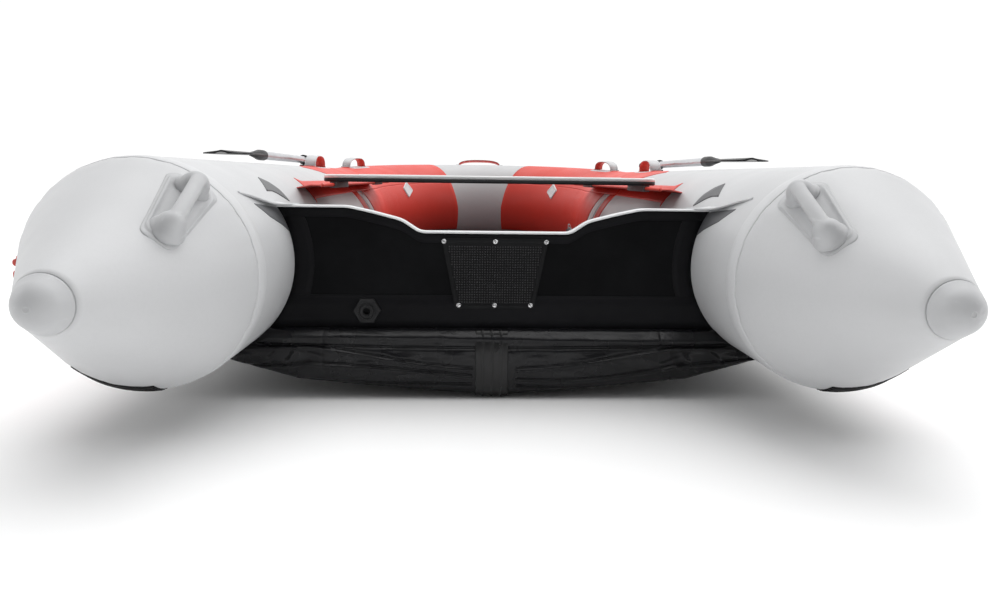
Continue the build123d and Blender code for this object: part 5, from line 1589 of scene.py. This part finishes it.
def build_strakes(shape):
    sides = []
    for sign in SIDES.values():
        s = np.linspace(0.001, STRAIGHT, 90)
        out = tube_normal(sign, s, np.zeros_like(s))
        sides.append(sweep("side", on_tube(sign, s, 0.0), out, STRAKE_SECTION, "red_rubber"))
    settle(join(sides, "rub_strakes"), "hull", "red_rubber", "rub_strake_sides")
    s = np.linspace(STRAIGHT, BOW_S, 80)
    path = np.concatenate([on_tube(1, s, 0.0), on_tube(-1, s[::-1][1:], 0.0)])
    out = np.concatenate(
        [tube_normal(1, s, np.zeros_like(s)), tube_normal(-1, s[::-1][1:], np.zeros_like(s[1:]))]
    )
    settle(
        sweep("bow_strake", path, out, STRAKE_SECTION, "red_rubber"),
        "hull",
        "red_rubber",
        "rub_strake_bow",
    )

    start, end = WEAR_STRIP_START, STRAIGHT - 0.0545
    upper, lower = WEAR_STRIP_EDGES
    pitch = shape.tread_pitch
    strips = []
    for sign in SIDES.values():
        strips.append(
            patch(
                "strip", sign, [(start, upper), (end, upper)], [(start, lower), (end, lower)],
                "black_rubber", height=0.0019, across=16, along=90,
            )
        )
        # The ribs over the soft bend differ from each other; those on the straight tube repeat
        bend_count = int((0.032 - start) / pitch) + 1
        for i in range(bend_count):
            strips.append(tread_rib(sign, start + 0.004 + i * pitch))
        straight_start = start + 0.004 + bend_count * pitch
        rib = tread_rib(sign, straight_start)
        count = int((end - straight_start - 0.052) / pitch)
        tread = grow(
            "tread", row_tree(f"tread_{sign}", "black_rubber"), Shape=rib, Count=count,
            Step=(0.0, pitch, 0.0)
        )
        strips.append(dress(tread, "black_rubber"))
    settle(join(strips, "tread_strips"), "hull", "black_rubber", "wear_strips")


# ---- Seats and rails ----
def board_shape(name, centre, length, width, corner, levels, finish):
    """Flat board with round corners. levels lists (height, inset) from the underside up."""
    rings = []
    for z, inset in levels:
        outline = rounded_outline(
            length - 2 * inset, width - 2 * inset, max(corner - inset, 0.001), 64
        )
        x, y = centre[0] + outline[:, 0], centre[1] + outline[:, 1]
        rings.append(np.stack([x, y, np.full(len(outline), z)], -1))
    n = len(rings[0])
    faces = grid_faces(len(rings), n, close_columns=True)
    faces += [tuple(range(n))[::-1], tuple(range((len(rings) - 1) * n, len(rings) * n))]
    obj = piece(name, np.concatenate(rings), faces, finish, smooth=False, recalc=True)
    for polygon in obj.data.polygons:
        polygon.use_smooth = abs(polygon.normal.z) < 0.9
    return obj


def build_seats():
    for which in SEATS:
        low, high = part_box(f"seat_board_{which}")
        centre = ((low.x + high.x) / 2, (low.y + high.y) / 2)
        length, width = high.x - low.x, high.y - low.y
        mid = low.z + 0.0105
        # Two layers: the black lower one is the dark underside and paints shade on the lower part
        # of the edge; the near-white upper one paints the highlight of the lit edge
        core = board_shape(
            "core", centre, length, width, 0.018,
            [
                (low.z, 0.004), (low.z + 0.001, 0.0018), (low.z + 0.003, 0.0), (mid - 0.0006, 0.0),
                (mid, 0.0012),
            ], "seat_dark_base_and_shade",
        )
        top = board_shape(
            "top", centre, length, width, 0.018,
            [
                (mid, 0.0012), (mid + 0.0006, 0.0), (high.z - 0.0035, 0.0),
                (high.z - 0.001, 0.0015), (high.z, 0.004),
            ], "seat_laminate",
        )
        settle(
            join([core, top], f"seat_{which}_board"),
            f"seat_{which}",
            "seat_laminate",
            f"seat_board_{which}",
        )
        # Raised grip ribs on the sitting face
        rib = board_shape(
            "rib",
            (centre[0], centre[1] - width / 2 + 0.035),
            length * 0.8,
            0.004,
            0.002,
            [(high.z - 0.0003, 0.0), (high.z + 0.0008, 0.0006), (high.z + 0.001, 0.0012)],
            "seat_laminate",
        )
        ribs = grow(
            "ribs",
            row_tree(f"seat_ribs_{which}", "seat_laminate"),
            Shape=rib,
            Count=6,
            Step=(0.0, 0.03, 0.0),
        )
        ribs.name = f"seat_{which}_ribs"
        dress(ribs, "seat_laminate", smooth=False)
        settle(ribs, f"seat_{which}", "seat_laminate")

    rail_low, rail_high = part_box("seat_rail_starboard")
    bead_z = AXIS_Z + RAIL_BEAD
    root_x = side_reach(RAIL_ROOT) + 0.006
    for side, sign in SIDES.items():
        y = np.linspace(rail_low.y, rail_high.y, 140)
        section = [(root_x, AXIS_Z + 0.1595), (0.468, bead_z + 0.0002), (0.4355, bead_z + 0.0016)]
        for a in np.linspace(0.35, 2 * pi - 0.35, 16):
            section.append((0.43 + BEAD_R * cos(a), bead_z + BEAD_R * sin(a)))
        section += [(0.4355, bead_z - 0.0016), (0.468, bead_z - 0.003), (root_x, AXIS_Z + 0.1560)]
        section = np.array(section)
        rows = []
        for v in y:
            wave = np.where(
                (section[:, 0] > 0.44) & (section[:, 0] < root_x),
                0.0016 * sin(v * 31) + 0.001 * sin(v * 73),
                0,
            )
            slant = 0.14 * (section[:, 0] - 0.425) / (root_x - 0.425) * max(
                0.0, 1 - (v - rail_low.y) / 0.4
            )
            rows.append(np.stack([sign * section[:, 0], v + slant, section[:, 1] + wave], -1))
        rows = np.array(rows)
        n = len(section)
        faces = grid_faces(len(rows), n, close_columns=True)
        faces += [tuple(range(n)), tuple(range((len(rows) - 1) * n, len(rows) * n))[::-1]]
        rail = piece(f"rail_{side}", rows.reshape(-1, 3), faces, "red_flap", recalc=True)
        settle(rail, "hull", "red_fabric", f"seat_rail_{side}")


# ---- Strap handles ----
def strap(name, side, s, degrees, span, height, width):
    """Webbing handle: light outside, red inside, on sewn feet, with its stitches."""
    origin, ahead, across, out = local_frame(side, s, degrees)
    turn = np.linspace(0, pi, 46)
    x = span / 2 * np.sign(np.cos(turn)) * np.abs(np.cos(turn)) ** 0.75
    h = (height - 0.003) * np.sin(turn) ** 0.72
    lead = np.array([(span / 2 + 0.016, 0.0032), (span / 2 + 0.008, 0.0034)])
    path2 = np.concatenate([lead, np.stack([x, np.maximum(h, 0.0036)], -1), lead[::-1] * (-1, 1)])
    path = origin + path2[:, :1] * ahead + path2[:, 1:] * out
    tangent = np.gradient(path, axis=0)
    tangent /= np.linalg.norm(tangent, axis=1, keepdims=True)
    normals = np.cross(tangent, across)
    if normals[len(normals) // 2].dot(out) < 0:
        normals = -normals
    half = width / 2
    outer = [
        (-half, 0.0), (-half, 0.0012), (-half + 0.0014, 0.0024), (half - 0.0014, 0.0024),
        (half, 0.0012), (half, 0.0),
    ]
    inner = [
        (-half + 0.001, -0.0022), (-half + 0.0004, -0.0001), (half - 0.0004, -0.0001),
        (half - 0.001, -0.0022),
    ]
    parts = [
        sweep(name + "_outer", path, normals, outer, "light_lap"),
        sweep(name + "_inner", path, normals, inner, "red_flap"),
    ]
    stitch_points, turns = [], []
    for k in list(range(0, 9)) + list(range(len(path) - 9, len(path))):
        for v in (-half + 0.005, half - 0.005):
            stitch_points.append(path[k] + normals[k] * 0.0026 + across * v)
            turns.append(Vector(tangent[k]).to_track_quat("Z", "Y").to_euler())
    return parts, stitch_points, turns


def build_strap_handles(shape):
    aft_s = TRANSOM_S + 1.340
    forward_s = STRAIGHT + BOW_SIDE_RADIUS * radians(14)
    patches = []
    plain = [(1.0, -0.0008), (1.0, 0.0008), (0.985, 0.0014), (0.6, 0.0016), (0.2, 0.0016)]
    stitch_tree = nub_tree("stitches", "thread")

    def fit(name, places, nodes, slot, height=0.046):
        parts, points, turns = [], [], []
        for side, s, degrees, span in places:
            made, more, turned = strap(name, side, s, degrees, span, height, 0.042)
            parts += made
            points += more
            turns += turned
            patches.append(
                pad_on_tube(
                    "patch", side, s, degrees, span + 0.044, 0.086, 0.022, plain, "light_lap"
                )
            )
        stitches = grow(
            "stitches", stitch_tree, points, turns, Base=0.0006, Top=0.0006,
            Height=shape.stitch_length,
        )
        parts.append(dress(stitches, "thread"))
        settle(join(parts, name), "hull", slot, *nodes)

    for side, sign in SIDES.items():
        fit(
            f"grab_straps_{side}",
            [(sign, aft_s, 92, 0.19), (sign, forward_s, 92, 0.19)],
            [f"grab_handles_{side}"],
            "light_moulding",
        )
    fit("bow_strap", [(1, BOW_S, 72, 0.24)], ["bow_handle"], "light_moulding", 0.036)
    settle(join(patches, "strap_patches"), "hull", "light_fabric", "grab_handle_patches")


# ---- Bow fittings ----
def build_bow_fittings():
    s = STRAIGHT + BOW_SIDE_RADIUS * radians(27)
    tabs = []
    profile = [
        (1.0, -0.001), (1.0, 0.0035), (0.97, 0.0055), (0.92, 0.0065), (0.80, 0.0068),
        (0.76, 0.0056), (0.4, 0.0056),
    ]
    for sign in SIDES.values():
        tabs.append(
            pad_on_tube(
                "tab", sign, s, 152, 0.085, 0.060, 0.010, profile, "bright_stripe", twist=0.45
            )
        )
    settle(join(tabs, "bow_pads"), "hull", "light_moulding", "bow_tabs")
    ring = pad_on_tube(
        "tow_patch_base", 1, BOW_S, -26, 0.118, 0.118, 0.0589,
        [(1.0, -0.0008), (1.0, 0.0007), (0.985, 0.0012), (0.93, 0.0013)], "light_lap",
    )
    settle(ring, "hull", "light_moulding")


# ---- Oars ----
def build_oars():
    """Blades with their sockets, and the grips at the other end."""
    for side in SIDES:
        low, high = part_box(f"oar_blade_{side}")
        x0 = (low.x + high.x) / 2
        z0 = (low.z + high.z) / 2
        tip, root = low.y, high.y
        t = np.linspace(0, 1, 60)
        y = tip + (root - 0.06 - tip) * t
        reach = OAR_BLADE_HALF * np.interp(
            t, [0, 0.03, 0.08, 0.16, 0.65, 0.9, 1.0], [0.25, 0.62, 0.86, 1.0, 0.86, 0.42, 0.24]
        )
        u = np.linspace(-1, 1, 25)
        dish = -0.006 * (1 - t[:, None]) ** 0.8 * (u[None] ** 2)
        spine_ridge = 0.005 * np.exp(
            -((u[None] * reach[:, None] / 0.010) ** 2)
        ) * (0.25 + 0.75 * t[:, None])
        thick = 0.0016
        x = x0 + u[None] * reach[:, None]
        ys = np.broadcast_to(y[:, None], x.shape)
        lowp = np.stack([x, ys, z0 + dish - thick - 0.5 * spine_ridge], -1)
        highp = np.stack([x, ys, z0 + dish + thick + spine_ridge], -1)
        blade = slab("blade", lowp, highp, "black_plastic")
        socket = revolve(
            "socket", (x0, root, z0), (0, -1, 0),
            [
                (0, 0.0142), (0, 0.0168), (0.004, 0.0172), (0.045, 0.0172), (0.06, 0.0165),
                (0.10, 0.011), (0.15, 0.006), (0.17, 0.0),
            ], "black_plastic", 28,
        )
        settle(
            join([blade, socket], f"oar_paddle_{side}"),
            f"oar_{side}",
            "black_plastic",
            f"oar_blade_{side}",
        )
        shaft_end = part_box(f"oar_shaft_{side}")[1].y
        ring = revolve(
            "ring",
            (x0, shaft_end - 0.106, z0),
            (0, 1, 0),
            [(0, 0.0168), (0.0012, 0.0180), (0.0028, 0.0180), (0.004, 0.0168)],
            "black_rubber",
            24,
        )
        grip = grow(
            "grip",
            row_tree(f"grip_rings_{side}", "black_rubber"),
            Shape=ring,
            Count=17,
            Step=(0.0, 0.006, 0.0),
        )
        sleeve = revolve(
            "sleeve", (x0, shaft_end - 0.112, z0), (0, 1, 0),
            [
                (0, 0.0165), (0.001, 0.0174), (0.106, 0.0174), (0.110, 0.0178), (0.1145, 0.0160),
                (0.1155, 0.010), (0.1156, 0.0),
            ], "black_rubber", 28,
        )
        settle(
            join([dress(grip, "black_rubber"), sleeve], f"oar_grip_{side}"),
            f"oar_{side}",
            "black_rubber",
        )


# ---- Valves ----
def build_valves():
    bow_s = STRAIGHT + BOW_SIDE_RADIUS * radians(10)
    places = {
        "port": (-1, TRANSOM_S + 0.7, 180),
        "starboard": (1, TRANSOM_S + 0.7, 180),
        "bow": (1, bow_s, 202),
    }
    for side, (sign, s, degrees) in places.items():
        origin, ahead, across, out = local_frame(sign, s, degrees)
        points = []
        for i in range(20):
            turn = 2 * pi * i / 20
            spoke = ahead * cos(turn) + across * sin(turn)
            points.append(origin + spoke * 0.0262 + out * 0.0092)
        turns = [Vector(out).to_track_quat("Z", "Y").to_euler()] * len(points)
        grips = grow(
            f"valve_grips_{side}",
            nub_tree(f"valve_nubs_{side}", "grey_plastic"),
            points,
            turns,
            Base=0.0016,
            Top=0.0013,
            Height=0.0075,
        )
        dress(grips, "grey_plastic")
        settle(grips, f"valve_cap_{side}", "light_moulding")
        ring = pad_on_tube(
            f"valve_patch_{side}", sign, s, degrees, 0.098, 0.098, 0.0489,
            [(1.0, -0.0008), (1.0, 0.0008), (0.98, 0.0013), (0.4, 0.0013)], "light_lap",
        )
        settle(ring, "hull", "light_fabric")


# ---- Air deck ----
def build_air_deck():
    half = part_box("air_deck_skins")[1].x
    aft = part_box("air_deck_skins")[0].y
    offset = half - TUBE_X

    def outline(inset):
        x = half - inset
        points = [(x, y) for y in np.linspace(aft + inset + 0.02, SHOULDER_Y, 30)[:-1]]
        for turn in np.linspace(0, BOW_SIDE_ANGLE, 14)[:-1]:
            reach = BOW_SIDE_RADIUS + offset - inset
            points.append(
                (TUBE_X - BOW_SIDE_RADIUS + reach * cos(turn), SHOULDER_Y + reach * sin(turn))
            )
        for turn in np.linspace(BOW_SIDE_ANGLE, pi / 2, 20):
            reach = BOW_END_RADIUS + offset - inset
            points.append((reach * cos(turn), SHOULDER_Y + BOW_END_CENTRE + reach * sin(turn)))
        points += [(-a, b) for a, b in reversed(points[:-1])]
        corner = [
            (-x + 0.02 * (1 - cos(t)), aft + inset + 0.02 * (1 - sin(t)))
            for t in np.linspace(0, pi / 2, 6)
        ]
        points += corner[1:] + [(-a, b) for a, b in reversed(corner[1:])]
        return points

    middle = (DECK_TOP + DECK_BASE) / 2
    tall = (DECK_TOP - DECK_BASE) / 2
    rings = []
    for turn in np.linspace(-pi / 2, pi / 2, 13):
        inset = 0.018 * (1 - cos(turn) ** 0.6)
        height = middle + tall * np.sign(sin(turn)) * abs(sin(turn)) ** 0.7
        rings.append([(a, b, height) for a, b in outline(inset)])
    rings = np.array(rings)
    n = rings.shape[1]
    faces = grid_faces(len(rings), n, close_columns=True)
    faces += [tuple(range(n)), tuple(range((len(rings) - 1) * n, len(rings) * n))]
    deck = piece("air_deck", rings.reshape(-1, 3), faces, "deck_fabric", smooth=False, recalc=True)
    for polygon in deck.data.polygons:
        polygon.use_smooth = abs(polygon.normal.z) < 0.99
    settle(deck, "hull", "deck_fabric", "air_deck_skins", "air_deck_side_band")


# ---- Operators, panel and running order ----
class DINGHY_OT_finishes(bpy.types.Operator):
    """Builds the cloth, rubber, plastic and metal finishes"""

    bl_idname = "dinghy.finishes"
    bl_label = "Mix the finishes"
    bl_options = {"REGISTER", "UNDO"}

    def execute(self, context):
        build_finishes(context.scene.dinghy_finish)
        finish_frame()
        return {"FINISHED"}


class DINGHY_OT_stage(bpy.types.Operator):
    """Places the camera, floor and lights"""

    bl_idname = "dinghy.stage"
    bl_label = "Set the stage"
    bl_options = {"REGISTER", "UNDO"}

    def execute(self, context):
        build_stage(context.scene.dinghy_stage)
        return {"FINISHED"}


class DINGHY_OT_tubes(bpy.types.Operator):
    """Cones, side tubes, bow tube and seam tapes"""

    bl_idname = "dinghy.tubes"
    bl_label = "Skin the tubes"
    bl_options = {"REGISTER", "UNDO"}

    def execute(self, context):
        build_tubes(context.scene.dinghy_shape)
        return {"FINISHED"}


class DINGHY_OT_panels(bpy.types.Operator):
    """Red panels, stripes and dark fins on the tubes"""

    bl_idname = "dinghy.panels"
    bl_label = "Lay the colour panels"
    bl_options = {"REGISTER", "UNDO"}

    def execute(self, context):
        build_panels()
        return {"FINISHED"}


class DINGHY_OT_end_caps(bpy.types.Operator):
    """Moulded caps on the cones"""

    bl_idname = "dinghy.end_caps"
    bl_label = "Fit the end caps"
    bl_options = {"REGISTER", "UNDO"}

    def execute(self, context):
        build_end_caps()
        return {"FINISHED"}


class DINGHY_OT_carrying_handles(bpy.types.Operator):
    """Moulded handles on the cones"""

    bl_idname = "dinghy.carrying_handles"
    bl_label = "Fit the carrying handles"
    bl_options = {"REGISTER", "UNDO"}

    def execute(self, context):
        build_carrying_handles()
        return {"FINISHED"}


class DINGHY_OT_transom(bpy.types.Operator):
    """Laps, edge bead and gussets"""

    bl_idname = "dinghy.transom"
    bl_label = "Dress the transom"
    bl_options = {"REGISTER", "UNDO"}

    def execute(self, context):
        build_transom()
        return {"FINISHED"}


class DINGHY_OT_motor_plates(bpy.types.Operator):
    """Nubs, border and screws"""

    bl_idname = "dinghy.motor_plates"
    bl_label = "Fit the motor plates"
    bl_options = {"REGISTER", "UNDO"}

    def execute(self, context):
        build_motor_plates(context.scene.dinghy_shape)
        return {"FINISHED"}


class DINGHY_OT_drain(bpy.types.Operator):
    """Collar and grips of the drain"""

    bl_idname = "dinghy.drain"
    bl_label = "Fit the drain"
    bl_options = {"REGISTER", "UNDO"}

    def execute(self, context):
        build_drain()
        return {"FINISHED"}


class DINGHY_OT_hull(bpy.types.Operator):
    """Hull bottom, rolled end and keel strake"""

    bl_idname = "dinghy.hull"
    bl_label = "Skin the hull"
    bl_options = {"REGISTER", "UNDO"}

    def execute(self, context):
        build_hull(context.scene.dinghy_shape)
        return {"FINISHED"}


class DINGHY_OT_strakes(bpy.types.Operator):
    """Rub strakes and ribbed wear strips"""

    bl_idname = "dinghy.strakes"
    bl_label = "Fit the strakes"
    bl_options = {"REGISTER", "UNDO"}

    def execute(self, context):
        build_strakes(context.scene.dinghy_shape)
        return {"FINISHED"}


class DINGHY_OT_seats(bpy.types.Operator):
    """Seat boards and the rails they slide on"""

    bl_idname = "dinghy.seats"
    bl_label = "Fit the seats"
    bl_options = {"REGISTER", "UNDO"}

    def execute(self, context):
        build_seats()
        return {"FINISHED"}


class DINGHY_OT_strap_handles(bpy.types.Operator):
    """Grab straps, bow strap and their patches"""

    bl_idname = "dinghy.strap_handles"
    bl_label = "Fit the strap handles"
    bl_options = {"REGISTER", "UNDO"}

    def execute(self, context):
        build_strap_handles(context.scene.dinghy_shape)
        return {"FINISHED"}


class DINGHY_OT_bow_fittings(bpy.types.Operator):
    """Bow pads and the tow patch's base"""

    bl_idname = "dinghy.bow_fittings"
    bl_label = "Fit the bow pads"
    bl_options = {"REGISTER", "UNDO"}

    def execute(self, context):
        build_bow_fittings()
        return {"FINISHED"}


class DINGHY_OT_oars(bpy.types.Operator):
    """Blades, sockets and grips"""

    bl_idname = "dinghy.oars"
    bl_label = "Fit the oars"
    bl_options = {"REGISTER", "UNDO"}

    def execute(self, context):
        build_oars()
        return {"FINISHED"}


class DINGHY_OT_valves(bpy.types.Operator):
    """Valve grips and patches"""

    bl_idname = "dinghy.valves"
    bl_label = "Fit the valves"
    bl_options = {"REGISTER", "UNDO"}

    def execute(self, context):
        build_valves()
        return {"FINISHED"}


class DINGHY_OT_air_deck(bpy.types.Operator):
    """Inflated floor with its grooves"""

    bl_idname = "dinghy.air_deck"
    bl_label = "Lay the air deck"
    bl_options = {"REGISTER", "UNDO"}

    def execute(self, context):
        build_air_deck()
        return {"FINISHED"}


class DINGHY_PT_panel(bpy.types.Panel):
    bl_label = "Dinghy"
    bl_idname = "DINGHY_PT_panel"
    bl_space_type = "VIEW_3D"
    bl_region_type = "UI"
    bl_category = "Dinghy"

    def draw(self, context):
        for operator in OPERATORS:
            self.layout.operator(operator.bl_idname, text=operator.bl_label)
        for group in (
            context.scene.dinghy_finish, context.scene.dinghy_shape, context.scene.dinghy_stage
        ):
            box = self.layout.box()
            for name in group.bl_rna.properties.keys():
                if name not in ("rna_type", "name"):
                    box.prop(group, name)


OPERATORS = [
    DINGHY_OT_finishes,
    DINGHY_OT_stage,
    DINGHY_OT_tubes,
    DINGHY_OT_panels,
    DINGHY_OT_end_caps,
    DINGHY_OT_carrying_handles,
    DINGHY_OT_transom,
    DINGHY_OT_motor_plates,
    DINGHY_OT_drain,
    DINGHY_OT_hull,
    DINGHY_OT_strakes,
    DINGHY_OT_seats,
    DINGHY_OT_strap_handles,
    DINGHY_OT_bow_fittings,
    DINGHY_OT_oars,
    DINGHY_OT_valves,
    DINGHY_OT_air_deck,
]
GROUPS = [DinghyFinishSettings, DinghyShapeSettings, DinghyStageSettings]


def register():
    for cls in GROUPS + OPERATORS + [DINGHY_PT_panel]:
        bpy.utils.register_class(cls)
    bpy.types.Scene.dinghy_finish = bpy.props.PointerProperty(type=DinghyFinishSettings)
    bpy.types.Scene.dinghy_shape = bpy.props.PointerProperty(type=DinghyShapeSettings)
    bpy.types.Scene.dinghy_stage = bpy.props.PointerProperty(type=DinghyStageSettings)


def unregister():
    for name in ("dinghy_finish", "dinghy_shape", "dinghy_stage"):
        delattr(bpy.types.Scene, name)
    for cls in reversed(GROUPS + OPERATORS + [DINGHY_PT_panel]):
        bpy.utils.unregister_class(cls)


def main():
    """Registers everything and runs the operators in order."""
    register()
    for operator in OPERATORS:
        getattr(bpy.ops.dinghy, operator.bl_idname.split(".")[1])()


if __name__ == "__main__":
    main()
